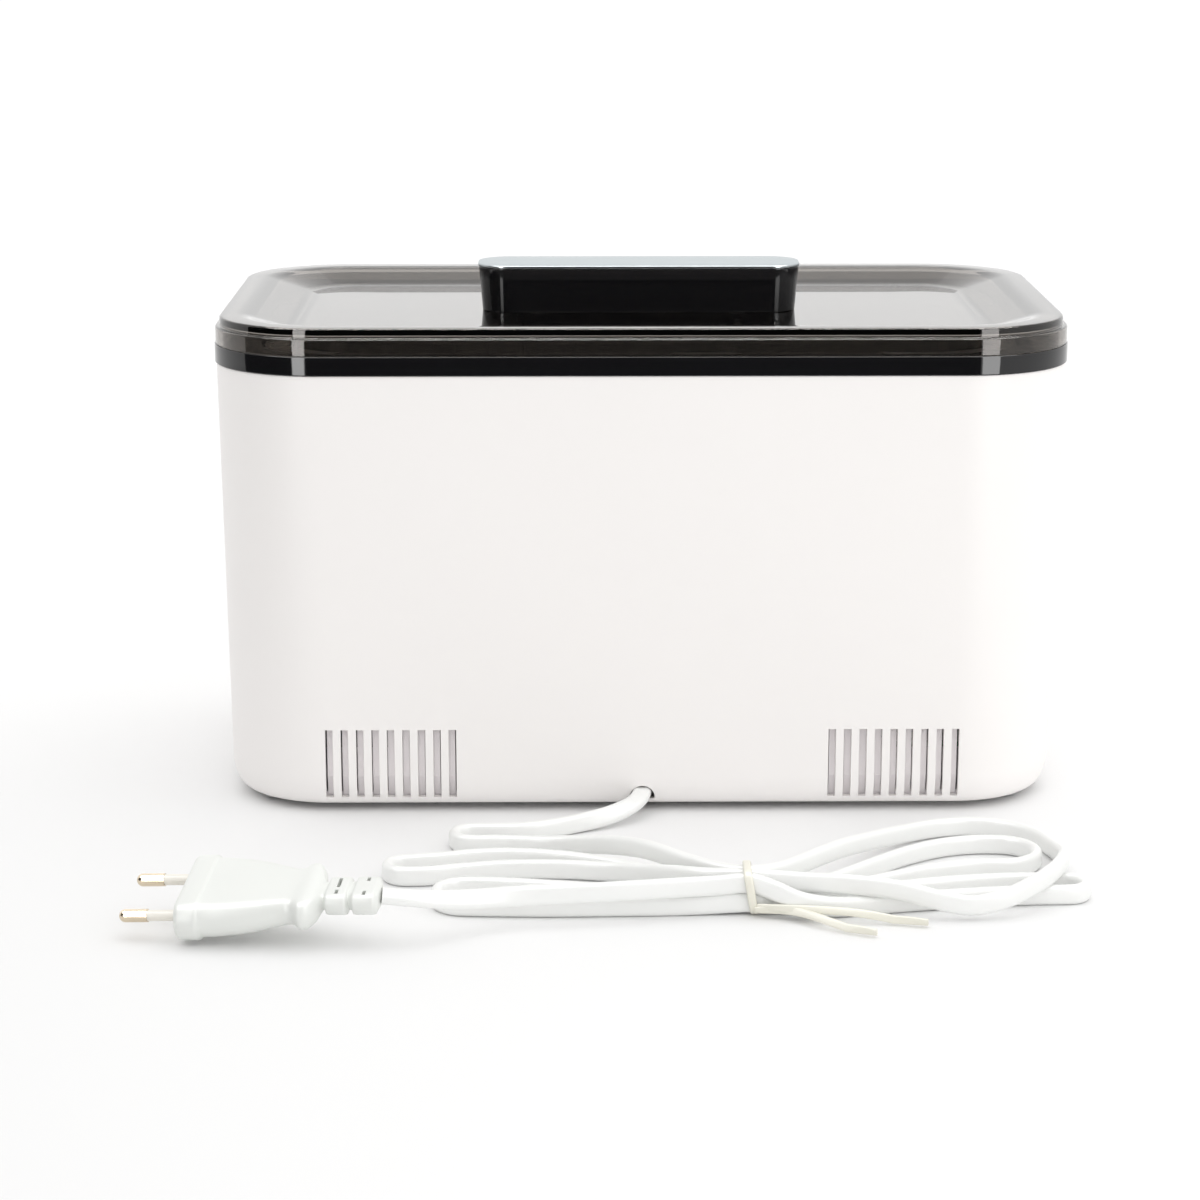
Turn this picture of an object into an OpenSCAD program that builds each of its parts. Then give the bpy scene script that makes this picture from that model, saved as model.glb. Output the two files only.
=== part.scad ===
// Ultrasonic cleaner: white shell, hanging steel tank, lift-off smoked lid, basket and tied mains cord.
// Front panel faces -Y, the vented rear wall faces +Y, and the feet stand on Z = 0.

/* [Body] */
// Width of the body across the trim ring
body_w = 288; // [284:1:292]
// Depth of the body across the trim ring
body_d = 169; // [167:1:172]
// Plan radius of the body's corners
corner_r = 38; // [34:1:40]
// Wall thickness of the shell
wall_t = 2.6; // [2.2:0.1:2.8]
// Height of the feet under the shell
foot_h = 2.5; // [2:0.1:2.6]
// Height of the shell's top edge
shell_top = 150; // [149.5:0.1:150.5]
// Inward lean of each wall from top to bottom
wall_lean = 2.3; // [1.8:0.1:2.6]
// Height of the rounded lower edge
round_h = 10; // [8:0.5:11]
// Inset of the rounded lower edge
round_in = 5; // [4:0.5:5.5]
// Height of the visible band of the trim ring
trim_h = 6.3; // [6:0.1:6.6]

/* [Vents and cord hole] */
// Slots in each vent group
vent_count = 9; // [7:1:9]
// Distance from one slot to the next
vent_pitch = 5.2; // [4.8:0.1:5.4]
// Width of a vent slot
vent_slot_w = 2.55; // [2:0.05:2.8]
// Distance from the middle of the body to the middle of a vent group
vent_x = 84.8; // [83:0.1:87]
// Height of the lower end of the slots
vent_z = 5.4; // [5:0.1:6]
// Height of the slots
vent_h = 24; // [20:1:26]
// Width of the arched cord hole
cord_hole_w = 8.5; // [7.5:0.1:9.5]

/* [Lid] */
// Height of the lid's skirt
skirt_h = 5.9; // [5.5:0.1:6.2]
// Height of the raised rim above the skirt
rim_h = 3.3; // [3:0.1:3.6]
// Wall thickness of the lid
lid_t = 2.5; // [2:0.1:2.6]
// Width of the flat rim around the dish
rim_w = 8; // [7:0.5:9]
// Width of the sloping band of the dish
slope_w = 16; // [14:0.5:17]
// Depth of the dish
dish_depth = 5; // [4.5:0.1:5.2]
// Length of the handle bar
handle_l = 112; // [100:1:118]
// Width of the handle bar
handle_w = 27; // [24:1:29]
// Height of the handle bar above the dish
handle_h = 16.5; // [14:0.5:18]
// Distance from one handle screw to the other
handle_screw_gap = 70; // [60:1:76]

/* [Tank and basket] */
// Inside width of the tank
tank_w = 238; // [236:1:240]
// Inside depth of the tank from front to rear
tank_d = 134; // [132:1:135]
// Sheet thickness of the tank
tank_t = 0.8; // [0.6:0.1:1]
// Height of the tank's inside floor
tank_floor = 65; // [64:0.5:66]
// Outside width of the basket
basket_w = 218; // [212:1:220]
// Outside depth of the basket from front to rear
basket_d = 114; // [108:1:116]
// Height of the basket wall
basket_h = 66; // [60:1:68]

/* [Control panel] */
// Width of the front panel
panel_w = 134; // [128:1:138]
// Height of the front panel
panel_h = 58; // [56:1:60]
// Height of the panel's centre
panel_z = 98; // [96:1:100]
// Width of a push button
button_w = 20; // [16:1:22]
// Height of a push button
button_h = 9; // [8:0.5:10]
// Distance from one push button to the next
button_pitch = 30; // [28:1:31]
// Travel of a push button
button_travel = 0.8; // [0.6:0.1:0.8]

/* [Cord and plug] */
// Radius of the cord's plain tube
cord_r = 2.3; // [2.1:0.05:2.3]
// Radius of a plug pin
pin_r = 2; // [1.95:0.05:2.05]
// Length of a plug pin
pin_l = 19; // [18.5:0.5:19.5]
// Length of the sleeve on a plug pin
sleeve_l = 10; // [9:0.5:10]
// Distance from one plug pin to the other
pin_gap = 19; // [17.5:0.5:19]

/* [Hidden] */

$fn = 64;
hull_fn = 32;
// Thickness of the slices that a lofted shape is wrapped around, and the overrun of every cut
slice = 0.01;
over = 1;

// Colours
white = [0.93, 0.92, 0.91];
black = [0.06, 0.06, 0.065];
smoke = [0.16, 0.15, 0.14, 0.75];
steel = [0.72, 0.73, 0.75];
silver = [0.82, 0.82, 0.83];
brass_tone = [0.78, 0.66, 0.45];
board_green = [0.10, 0.36, 0.20];
cord_white = [0.94, 0.95, 0.94];
rubber_grey = [0.25, 0.25, 0.26];
lilac_grey = [0.80, 0.78, 0.80];

// Shell and trim
shell_inset = 0.5;
shell_w = body_w - 2 * shell_inset;
shell_d = body_d - 2 * shell_inset;
shell_r = corner_r - shell_inset;
round_steps = 5;
trim_top = shell_top + trim_h;
trim_wall = 3.7;
lip_gap = 0.3;
lip_t = 2.6;
lip_drop = 4;
deck_t = 4;
base_t = 2.5;
base_gap = 0.3;
base_top = foot_h + base_t;
boss_r = 4.5;
boss_x = 126;
boss_y = 62;
boss_gap = 0.1;
boss_top = 38;
rib_t = 2;
rib_l = 8.6;
screw_r = 1.35;
screw_fit = 0.05;
screw_pass_r = 1.7;
screw_head_r = 3;
screw_head_h = 1.6;
foot_r = 9;
foot_x = 100;
foot_y = 48;

// Rear openings
vent_cut_y = 66;
cord_hole_z = 4.5;
cord_hole_h = 5;
cord_z = 7;
grommet_y = 50;
grommet_l = 24;
grommet_r = 4.4;
grommet_taper = 0.8;
grommet_bore = cord_r + 0.4;
grommet_gap = 0.2;
clamp_post_x = 8;
clamp_post_y = 42;
clamp_post_h = 4.6;
clamp_bar_w = 8;
clamp_bar_t = 2.5;
baffle_y = 79;
baffle_low_y = 77.1;
baffle_back = 75.4;
baffle_foot_y = 71.5;
baffle_w = 46;
baffle_h = 28;
baffle_bar = 1.6;
baffle_rib = 2.3;
baffle_pitch = vent_pitch - 0.08;

// Tank
tank_r = 26;
tank_round = 10;
tank_straight = 100;
tank_taper = 2;
tank_flange = 8;
deck_gap = 1.2;
flange_step = 2;
seal_t = 0.8;
seal_z = trim_top - flange_step;
flange_z = seal_z + seal_t;
flange_top = flange_z + tank_t;
tank_bottom = tank_floor - tank_t;
clamp_w = 16;
clamp_t = 1.2;
clamp_leg = 14;
clamp_x = 130;
clamp_y = 30;
clamp_boss_r = 4;
clamp_boss_z = 140;
clamp_bore = 6;

// Transducers, from the tank's floor down
transducer_x = 58;
horn_h = 18;
horn_r = 19.5;
stack_r = 15;
ring_h = 5;
ring_hole_r = 6;
electrode_t = 0.3;
mass_h = 14;
bolt_r = 4;
bolt_head_r = 7;
bolt_head_h = 6;
horn_z = tank_bottom - horn_h;
upper_ring_z = horn_z - ring_h;
upper_electrode_z = upper_ring_z - electrode_t;
lower_ring_z = upper_electrode_z - ring_h;
lower_electrode_z = lower_ring_z - electrode_t;
mass_z = lower_electrode_z - mass_h;
bolt_reach = 10;
heater_w = 64;
heater_d = 96;
heater_t = 1.5;
sensor_x = 92;
sensor_r = 6;
sensor_h = 7;
earth_y = 36;
earth_tag_t = 1;
earth_stud_r = 2;
earth_stud_l = 7;
earth_nut_h = 3.5;

// Power electronics on the base cover
board_t = 1.6;
board_x = -108;
board_w = 46;
board_d = 100;
board_z = 14;
board_top = board_z + board_t;
board_screw_x = 19;
board_screw_y = 46;
standoff_r = 3;
sink_x = 6;
sink_back = 3;
coil_x = 108;
core_w = 42;
core_d = 36;
core_h = 36;
core_t = 9;
coil_gap = 0.4;
coil_y = core_d / 4 + 1;
transformer_screw_x = 16;

// Front panel, with its board behind it
panel_front = -83;
panel_t = 3.1;
panel_r = 8;
panel_fit = 0.15;
panel_rear = panel_front + panel_t;
panel_lip = 4;
panel_lip_t = 1.5;
panel_back = panel_rear + panel_lip_t;
window_w = 56;
window_h = 24;
window_r = 3;
window_t = 2;
window_z = panel_z + 10;
window_fit = 0.1;
window_ledge = 3;
display_inset = 4;
display_gap = 0.2;
button_z = panel_z - 16;
button_r = 3;
button_fit = 0.3;
button_front = -84.2;
button_flange = 1;
button_flange_t = 1.2;
button_gap = 0.2;
button_back = panel_back + button_gap + button_flange_t;
button_x = [for (i = [0:3]) (i - 1.5) * button_pitch];
plunger_r = 1.75;
plunger_fit = 0.15;
plunger_reach = 1.7;
plunger_l = button_travel + button_gap + plunger_reach;
switch_w = 6;
switch_l = 3.6;
switch_front = button_back + button_travel + button_gap;
switch_bore = 3;
control_front = switch_front + switch_l;
control_w = 130;
control_h = 52;
control_screw_l = 5;
post_x = 60.5;
post_z = 21;
light_r = 1.5;
light_z = button_z + 9;
light_tail = 2;

// Basket
basket_r = 16;
basket_t = 2;
basket_lift = 9;
basket_z = tank_floor + basket_lift;
basket_top = basket_z + basket_h;
basket_foot_gap = 0.2;
basket_rim = 3;
basket_rim_t = 2.5;
basket_slot = 3;
grip_w = 48;
grip_h = 10;
grip_t = 4;
grip_r = 4;
grip_side = 4;
grip_bar = 2.5;
basket_foot_r = 4;
basket_foot_x = basket_w / 2 - basket_r - basket_foot_r;
basket_foot_y = basket_d / 2 - basket_r - basket_foot_r;

// Lid, standing on the trim ring
lid_inset = 0.3;
lid_z = trim_top;
ledge_z = lid_z + skirt_h;
rim_top = ledge_z + rim_h;
ledge_w = 1.5;
dish_top = rim_top - dish_depth;
dish_under = dish_top - lid_t;
dish_r = 30;
dish_floor_r = 16;
guide_gap = 2;
guide_t = 2;
guide_drop = 6;
guide_root = 0.5;
handle_lean = 1.3;
handle_r = 10.5;
cap_t = 1;
handle_top = dish_top + handle_h;
handle_bore_top = handle_top - 4;
handle_screw_l = 13;

// Cord: it leaves the hole, turns along the rear wall and joins the hank
lead_points = [
    [0, 34, 7.3], [0, 46, 7.3], [0, 58, 7.2], [0, 70, 7.1], [0, 78, 7], [0.5, 84, 6.8], [2.5, 89, 5.8],
    [7, 94, 4.4], [13.5, 98.5, 3.5], [21, 103, 3.2], [28, 107.5, 3.2], [36, 111.5, 3.2], [44, 113.5, 3.2],
    [52, 113, 3.2]
];
tail_points = [
    [80.4, 211.5, 14.8], [74, 211, 14], [66, 208.5, 12.6], [57, 204, 11], [48, 199.5, 9.9], [38, 196.5, 9.6],
    [26, 195, 9.6]
];
cord_sides = 8;
lead_r = 0.9;
lead_sides = 6;
mains_routes = [
    [
        [-1.2, 32, 7.3], [-8, 26, 9], [-22, 26, 12], [-48, 34, 14], [-78, 42, 20], [-90, 44, 24.5],
        [-97, 44, 25.5]
    ],
    [
        [1.2, 32, 7.3], [-6, 22, 11], [-22, 22, 15], [-48, 30, 18], [-78, 38, 24], [-90, 41, 26.5],
        [-99, 41.5, 26.5]
    ]
];
transducer_routes = [
    [
        [-58, 22, 41.6], [-64, 30, 40], [-76, 26, 36], [-84, 4, 34], [-84, -24, 30], [-94, -32, 28],
        [-100, -34, 27.5]
    ],
    [
        [58, 22, 41.6], [44, 28, 38], [20, 30, 30], [-20, 31, 28], [-50, 30, 30], [-80, 8, 29],
        [-84, -24, 28], [-91, -34, 28], [-95, -36, 27]
    ]
];
harness_route = [
    [-40, -66, 60], [-50, -62, 52], [-60, -56, 44], [-72, -50, 36], [-82, -46, 30], [-90, -44, 27],
    [-97, -40, 27]
];
hank_h = 11;
// Circles [x, y, radius] that each end of the hank is wrapped around
hank_plug_end = [[56, 120, 8], [75, 152, 10], [56, 177, 13], [32, 190, 7], [-31, 182, 8]];
hank_far_end = [[-31, 182, 8], [-106, 118, 14], [-112, 150, 20], [-128, 172, 11], [-104, 180, 14]];
tie_x = -31;
tie_y = 182;
tie_w = 3;
tie_t = 0.9;
tie_half = 9.5;
// Twist ends of the tie: start, turn about Z, length
tie_ends = [[[-31, 192], 161, 36], [[-31.5, 192.3], 170, 50]];
tie_end_w = 1.4;
tie_fit = 0.2;

// Plug: its local X runs out along the pins, and it lies tipped on one edge
plug_at = [139.4, 200, 10.6];
plug_turn = [-16, 4, -11];
collar_l = 7;
collar_w = 35;
collar_h = 13;
grip_back = 35;
ridge_l = 7;
boot_l = 18;
boot_w = 14;
boot_h = 7;
grip_w_front = 33;
grip_h_front = 12;
grip_w_back = 22;
ridge_w = 28;
ridge_h = 9;
pin_core_r = 1.15;
pin_core_fit = 0.05;
pin_root = 5;
sleeve_r = 1.68;

// Flat outline of a rectangle with round corners
module outline(w, d, r) {
    square([w - 2 * r, d], center = true);
    square([w, d - 2 * r], center = true);
    for (x = [-1, 1], y = [-1, 1]) {
        translate([x * (w / 2 - r), y * (d / 2 - r)]) circle(r = r);
    }
}

// Upright rounded block from z0 to z1
module block(w, d, r, z0, z1) {
    translate([0, 0, z0]) linear_extrude(z1 - z0) outline(w, d, r);
}

// Upright ring whose inner outline is inset by t
module ring(w, d, r, t, z0, z1) {
    difference() {
        block(w, d, r, z0, z1);
        block(w - 2 * t, d - 2 * t, r - t, z0 - over, z1 + over);
    }
}

// Block wrapped around slices, each [height, inset] from one outline
module loft(w, d, r, levels) {
    top = levels[len(levels) - 1][0];
    hull() {
        for (level = levels) {
            translate([0, 0, min(level[0], top - slice)]) {
                linear_extrude(slice) {
                    outline(w - 2 * level[1], d - 2 * level[1], r - level[1], $fn = hull_fn);
                }
            }
        }
    }
}

// Rounded block whose outline faces the front, from y0 to y1, centred at x and z
module front_block(w, h, r, x, z, y0, y1) {
    translate([x, y1, z]) rotate([90, 0, 0]) linear_extrude(y1 - y0) outline(w, h, r);
}

// Round bar along Y from y0 to y1
module bar_y(r, x, z, y0, y1) {
    translate([x, y0, z]) rotate([-90, 0, 0]) cylinder(r = r, h = y1 - y0);
}

// Copies to the four quadrants at [x, y]
module four(x, y) {
    for (i = [-1, 1], j = [-1, 1]) {
        translate([i * x, j * y, 0]) children();
    }
}

// Pan head screw that enters upward from the plane z = head
module rising_screw(head, length) {
    translate([0, 0, head - screw_head_h]) cylinder(r = screw_head_r, h = screw_head_h);
    translate([0, 0, head]) cylinder(r = screw_r, h = length);
}

// Points of one ring of a tube around p, square to dir
function tube_ring(p, dir, r, sides) =
    let(side = cross(dir, [0, 0, 1]) / norm(cross(dir, [0, 0, 1])))
    let(up = cross(side, dir) / norm(dir))
    [for (k = [0:sides - 1]) p + r * (cos(360 * k / sides) * side + sin(360 * k / sides) * up)];

// Direction of a route at point i
function route_dir(route, i) = route[min(i + 1, len(route) - 1)] - route[max(i - 1, 0)];

// Plain tube along a route of points
module tube(route, r, sides) {
    rings = len(route);
    points = [for (i = [0:rings - 1]) each tube_ring(route[i], route_dir(route, i), r, sides)];
    walls = [
        for (i = [0:rings - 2], k = [0:sides - 1])
            let(a = i * sides + k, b = i * sides + (k + 1) % sides)
            [a, b, b + sides, a + sides]
    ];
    first = [for (k = [sides - 1:-1:0]) k];
    last = [for (k = [0:sides - 1]) (rings - 1) * sides + k];
    polyhedron(points = points, faces = concat([first], walls, [last]));
}

// Inset of the shell's wall at height z, with the lean and the rounded lower edge
function wall_inset(z) =
    let(lean = wall_lean * (shell_top - z) / (shell_top - foot_h))
    let(below = max(0, foot_h + round_h - z) / round_h)
    lean + round_in * (1 - sqrt(1 - below * below));

// Levels of the shell's surface, moved in by t
function shell_levels(t) = concat(
    [for (i = [0:round_steps]) let(z = foot_h + round_h * i / round_steps) [z, wall_inset(z) + t]],
    [[shell_top, t]]
);

// ---- Body ----

module shell_bosses() {
    turn = atan2(boss_y - (body_d / 2 - corner_r), boss_x - (body_w / 2 - corner_r));
    four_mirrored() {
        translate([boss_x, boss_y, 0]) {
            translate([0, 0, base_top + boss_gap]) cylinder(r = boss_r, h = boss_top - base_top - boss_gap);
            rotate([0, 0, turn]) {
                translate([0, -rib_t / 2, foot_h + round_h]) {
                    cube([rib_l, rib_t, boss_top - foot_h - round_h]);
                }
            }
        }
    }
}

// Copies mirrored to the four quadrants
module four_mirrored() {
    for (i = [0, 1], j = [0, 1]) {
        mirror([i, 0, 0]) mirror([0, j, 0]) children();
    }
}

module vent_cuts(side) {
    for (i = [0:vent_count - 1]) {
        x = side * vent_x + (i - (vent_count - 1) / 2) * vent_pitch;
        translate([x - vent_slot_w / 2, vent_cut_y, vent_z]) {
            cube([vent_slot_w, body_d / 2 - vent_cut_y, vent_h]);
        }
    }
}

module cord_hole_cut() {
    arch_z = cord_hole_z + cord_hole_h - cord_hole_w / 2;
    intersection() {
        union() {
            bar_y(cord_hole_w / 2, 0, arch_z, vent_cut_y, body_d / 2);
            translate([-cord_hole_w / 2, vent_cut_y, cord_hole_z]) {
                cube([cord_hole_w, body_d / 2 - vent_cut_y, arch_z - cord_hole_z + over / 10]);
            }
        }
        translate([-cord_hole_w, vent_cut_y, cord_hole_z]) cube([2 * cord_hole_w, body_d, body_d]);
    }
}

module housing_shell() {
    color(white) {
        difference() {
            union() {
                difference() {
                    loft(shell_w, shell_d, shell_r, shell_levels(0));
                    loft(shell_w, shell_d, shell_r, concat(
                        [[foot_h - over, wall_inset(foot_h) + wall_t]],
                        shell_levels(wall_t),
                        [[shell_top + over, wall_t]]
                    ));
                }
                shell_bosses();
            }
            vent_cuts(-1);
            vent_cuts(1);
            cord_hole_cut();
            front_block(panel_w + 2 * panel_fit, panel_h + 2 * panel_fit, panel_r, 0, panel_z,
                -body_d / 2 - over, -body_d / 2 + 2 * wall_t + over);
            four(boss_x, boss_y) {
                translate([0, 0, base_top]) cylinder(r = screw_r + screw_fit, h = boss_top / 2);
            }
        }
    }
}

module trim_ring() {
    lip_in = shell_inset + wall_t + lip_gap;
    deck_bottom = trim_top - deck_t;
    mouth_w = tank_w + 2 * tank_t + 2 * deck_gap;
    mouth_d = tank_d + 2 * tank_t + 2 * deck_gap;
    mouth_r = tank_r + tank_t + deck_gap;
    color(black) {
        difference() {
            union() {
                ring(body_w, body_d, corner_r, trim_wall, shell_top, trim_top);
                block(body_w - 2 * lip_in, body_d - 2 * lip_in, corner_r - lip_in, deck_bottom, trim_top);
                ring(body_w - 2 * lip_in, body_d - 2 * lip_in, corner_r - lip_in, lip_t,
                    shell_top - lip_drop, trim_top);
                four(clamp_x, clamp_y) {
                    translate([0, 0, clamp_boss_z]) {
                        cylinder(r = clamp_boss_r, h = deck_bottom - clamp_boss_z + over / 10);
                    }
                }
            }
            block(mouth_w, mouth_d, mouth_r, shell_top - lip_drop - over, trim_top + over);
            block(mouth_w + 2 * tank_flange, mouth_d + 2 * tank_flange, mouth_r + tank_flange,
                seal_z, trim_top + over);
            four(clamp_x, clamp_y) {
                translate([0, 0, clamp_boss_z - over]) {
                    cylinder(r = screw_r + screw_fit, h = clamp_bore + over);
                }
            }
        }
    }
}

module base_outline(gap, z0, z1) {
    inset = shell_inset + wall_inset(foot_h) + wall_t + gap;
    block(body_w - 2 * inset, body_d - 2 * inset, corner_r - inset, z0, z1);
}

module base_cover() {
    slot_l = 36;
    slot_w = 2.5;
    slot_pitch = 7;
    channel_w = 2 * (grommet_r + grommet_gap);
    color(white) {
        difference() {
            union() {
                base_outline(base_gap, foot_h, base_top);
                board_standoffs() cylinder(r = standoff_r, h = board_z - base_top);
                for (x = [-1, 1]) {
                    translate([x * clamp_post_x, clamp_post_y, base_top]) {
                        cylinder(r = standoff_r, h = clamp_post_h);
                    }
                }
            }
            four(boss_x, boss_y) {
                translate([0, 0, foot_h - over]) cylinder(r = screw_pass_r, h = base_t + 2 * over);
            }
            board_standoffs() {
                translate([0, 0, -base_t - over]) cylinder(r = screw_r + screw_fit, h = board_z);
            }
            for (x = [-1, 1]) {
                translate([x * clamp_post_x, clamp_post_y, base_top]) {
                    cylinder(r = screw_r + screw_fit, h = clamp_post_h + over);
                }
                translate([x * transformer_screw_x + coil_x, 0, foot_h - over]) {
                    cylinder(r = screw_pass_r, h = base_t + 2 * over);
                }
            }
            for (side = [-1, 1], i = [-3:3]) {
                translate([side * transducer_x + i * slot_pitch - slot_w / 2, -slot_l / 2, foot_h - over]) {
                    cube([slot_w, slot_l, base_t + 2 * over]);
                }
            }
            translate([-channel_w / 2, grommet_y, foot_h - over]) {
                cube([channel_w, body_d / 2 - grommet_y, base_t + 2 * over]);
            }
        }
    }
}

module base_screws() {
    color(steel) four(boss_x, boss_y) rising_screw(foot_h, 14);
}

module feet() {
    color(rubber_grey) four(foot_x, foot_y) cylinder(r1 = foot_r - 1, r2 = foot_r, h = foot_h);
}

module vent_baffle(side) {
    foot_z = base_top + boss_gap;
    top_z = foot_z + baffle_h;
    color(lilac_grey) {
        for (i = [0:vent_count - 1]) {
            x = side * vent_x + (i - (vent_count - 1) / 2) * baffle_pitch;
            translate([x - baffle_rib / 2, 0, 0]) rotate([90, 0, 90]) {
                linear_extrude(baffle_rib) {
                    polygon([
                        [baffle_back, foot_z], [baffle_low_y, foot_z], [baffle_y, foot_h + round_h],
                        [baffle_y, top_z], [baffle_back, top_z]
                    ]);
                }
            }
        }
        translate([side * vent_x - baffle_w / 2, 0, 0]) {
            translate([0, baffle_foot_y, foot_z]) {
                cube([baffle_w, baffle_low_y - baffle_foot_y, baffle_bar]);
            }
            translate([0, baffle_back, top_z - baffle_bar]) cube([baffle_w, baffle_bar, baffle_bar]);
        }
    }
}

module vent_baffle_left() {
    vent_baffle(-1);
}

module vent_baffle_right() {
    vent_baffle(1);
}

// ---- Tank ----

module tank() {
    lower = [
        for (i = [0:round_steps])
            let(s = i / round_steps)
            [tank_round * s, tank_taper + tank_round * (1 - sqrt(1 - (1 - s) * (1 - s)))]
    ];
    outer = concat([for (l = lower) [tank_bottom + l[0], l[1]]], [[tank_straight, 0], [flange_top, 0]]);
    inner = concat([for (l = lower) [tank_floor + l[0], l[1]]], [[tank_straight, 0], [flange_top + over, 0]]);
    color(steel) {
        difference() {
            union() {
                loft(tank_w + 2 * tank_t, tank_d + 2 * tank_t, tank_r + tank_t, outer);
                block(tank_w + 2 * tank_t + 2 * tank_flange, tank_d + 2 * tank_t + 2 * tank_flange,
                    tank_r + tank_t + tank_flange, flange_z, flange_top);
            }
            loft(tank_w, tank_d, tank_r, inner);
        }
    }
}

module tank_seal() {
    color(rubber_grey) {
        ring(tank_w + 2 * tank_t + 2 * tank_flange, tank_d + 2 * tank_t + 2 * tank_flange,
            tank_r + tank_t + tank_flange, tank_flange - deck_gap, seal_z, flange_z);
    }
}

module tank_clamps() {
    wall_x = tank_w / 2 + tank_t;
    color(steel) {
        four_mirrored() {
            difference() {
                union() {
                    translate([wall_x, clamp_y - clamp_w / 2, clamp_boss_z - clamp_leg]) {
                        cube([clamp_t, clamp_w, clamp_leg]);
                    }
                    translate([wall_x, clamp_y - clamp_w / 2, clamp_boss_z - clamp_t]) {
                        cube([clamp_x + clamp_boss_r - wall_x, clamp_w, clamp_t]);
                    }
                }
                translate([clamp_x, clamp_y, clamp_boss_z - 2 * clamp_t]) {
                    cylinder(r = screw_pass_r, h = 3 * clamp_t);
                }
            }
        }
    }
}

module clamp_screws() {
    color(steel) four(clamp_x, clamp_y) rising_screw(clamp_boss_z - clamp_t, clamp_bore);
}

module heater_pad() {
    color("firebrick") block(heater_w, heater_d, 6, tank_bottom - heater_t, tank_bottom);
}

module temperature_sensor() {
    tab_w = 8;
    color(black) {
        translate([sensor_x, 0, tank_bottom - sensor_h]) cylinder(r = sensor_r, h = sensor_h);
        translate([sensor_x - tab_w / 2, -2 * sensor_r, tank_bottom - heater_t]) {
            cube([tab_w, 4 * sensor_r, heater_t]);
        }
    }
}

// ---- Transducers ----

module each_transducer() {
    for (side = [-1, 1]) {
        translate([side * transducer_x, 0, 0]) children();
    }
}

module transducer_horns() {
    color("silver") {
        each_transducer() {
            difference() {
                translate([0, 0, horn_z]) cylinder(r1 = stack_r, r2 = horn_r, h = horn_h);
                translate([0, 0, horn_z - over]) cylinder(r = bolt_r + screw_fit, h = bolt_reach + 2 * over);
            }
        }
    }
}

module washer(r, hole, z, h) {
    difference() {
        translate([0, 0, z]) cylinder(r = r, h = h);
        translate([0, 0, z - over]) cylinder(r = hole, h = h + 2 * over);
    }
}

module piezo_rings() {
    color([0.35, 0.33, 0.30]) {
        each_transducer() {
            washer(stack_r, ring_hole_r, upper_ring_z, ring_h);
            washer(stack_r, ring_hole_r, lower_ring_z, ring_h);
        }
    }
}

module electrodes() {
    tab_w = 5;
    tab_l = 6;
    color(brass_tone) {
        each_transducer() {
            for (z = [upper_electrode_z, lower_electrode_z]) {
                washer(stack_r, ring_hole_r, z, electrode_t);
                translate([-tab_w / 2, stack_r - over, z]) cube([tab_w, tab_l + over, electrode_t]);
            }
        }
    }
}

module back_masses() {
    color(steel) each_transducer() washer(stack_r, bolt_r + screw_fit, mass_z, mass_h);
}

module transducer_bolts() {
    color("dimgray") {
        each_transducer() {
            translate([0, 0, mass_z - bolt_head_h]) cylinder(r = bolt_head_r, h = bolt_head_h, $fn = 6);
            translate([0, 0, mass_z]) cylinder(r = bolt_r, h = horn_z - mass_z + bolt_reach);
        }
    }
}

// ---- Power electronics ----

module board_standoffs() {
    for (i = [-1, 1], j = [-1, 1]) {
        translate([board_x + i * board_screw_x, j * board_screw_y, base_top]) children();
    }
}

module power_board() {
    color(board_green) {
        difference() {
            translate([board_x, 0, 0]) block(board_w, board_d, 2, board_z, board_top);
            board_standoffs() cylinder(r = screw_pass_r, h = board_z);
        }
    }
}

module power_board_screws() {
    shank_l = 8;
    color(steel) {
        board_standoffs() {
            translate([0, 0, board_top - base_top]) cylinder(r = screw_head_r, h = screw_head_h);
            translate([0, 0, board_top - base_top - shank_l]) cylinder(r = screw_r, h = shank_l);
        }
    }
}

module heat_sink() {
    fin_count = 8;
    fin_pitch = 6;
    fin_t = 1.6;
    fin_l = 12;
    fin_h = 30;
    sink_l = (fin_count - 1) * fin_pitch + fin_t;
    color("darkgray") {
        translate([board_x + sink_x, -sink_l / 2, board_top]) {
            cube([sink_back, sink_l, fin_h]);
            for (i = [0:fin_count - 1]) {
                translate([sink_back - slice, i * fin_pitch, 0]) cube([fin_l, fin_t, fin_h]);
            }
        }
    }
}

module power_transistors() {
    case_t = 4.6;
    case_w = 10;
    case_h = 16;
    case_lift = 6;
    leg_w = 0.8;
    leg_t = 0.6;
    leg_gap = 2.5;
    spread = 14;
    color(black) {
        for (y = [-spread, spread]) {
            translate([board_x + sink_x - case_t, y, board_top]) {
                translate([0, -case_w / 2, case_lift]) cube([case_t, case_w, case_h]);
                for (k = [-1:1]) {
                    translate([case_t / 2 - leg_t / 2, leg_gap * k - leg_w / 2, 0]) {
                        cube([leg_t, leg_w, case_lift + leg_t]);
                    }
                }
            }
        }
    }
}

module capacitors() {
    can_r = 8;
    can_h = 24;
    can_y = 32;
    film = [14, 7, 12];
    color("navy") {
        for (y = [-can_y, can_y]) {
            translate([board_x - 12, y, board_top]) cylinder(r = can_r, h = can_h);
        }
        translate([board_x + 1, 30, board_top]) cube(film);
    }
}

module relay() {
    case = [15, 19, 15.5];
    color([0.15, 0.35, 0.65]) translate([board_x - 21, -12, board_top]) cube(case);
}

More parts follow.
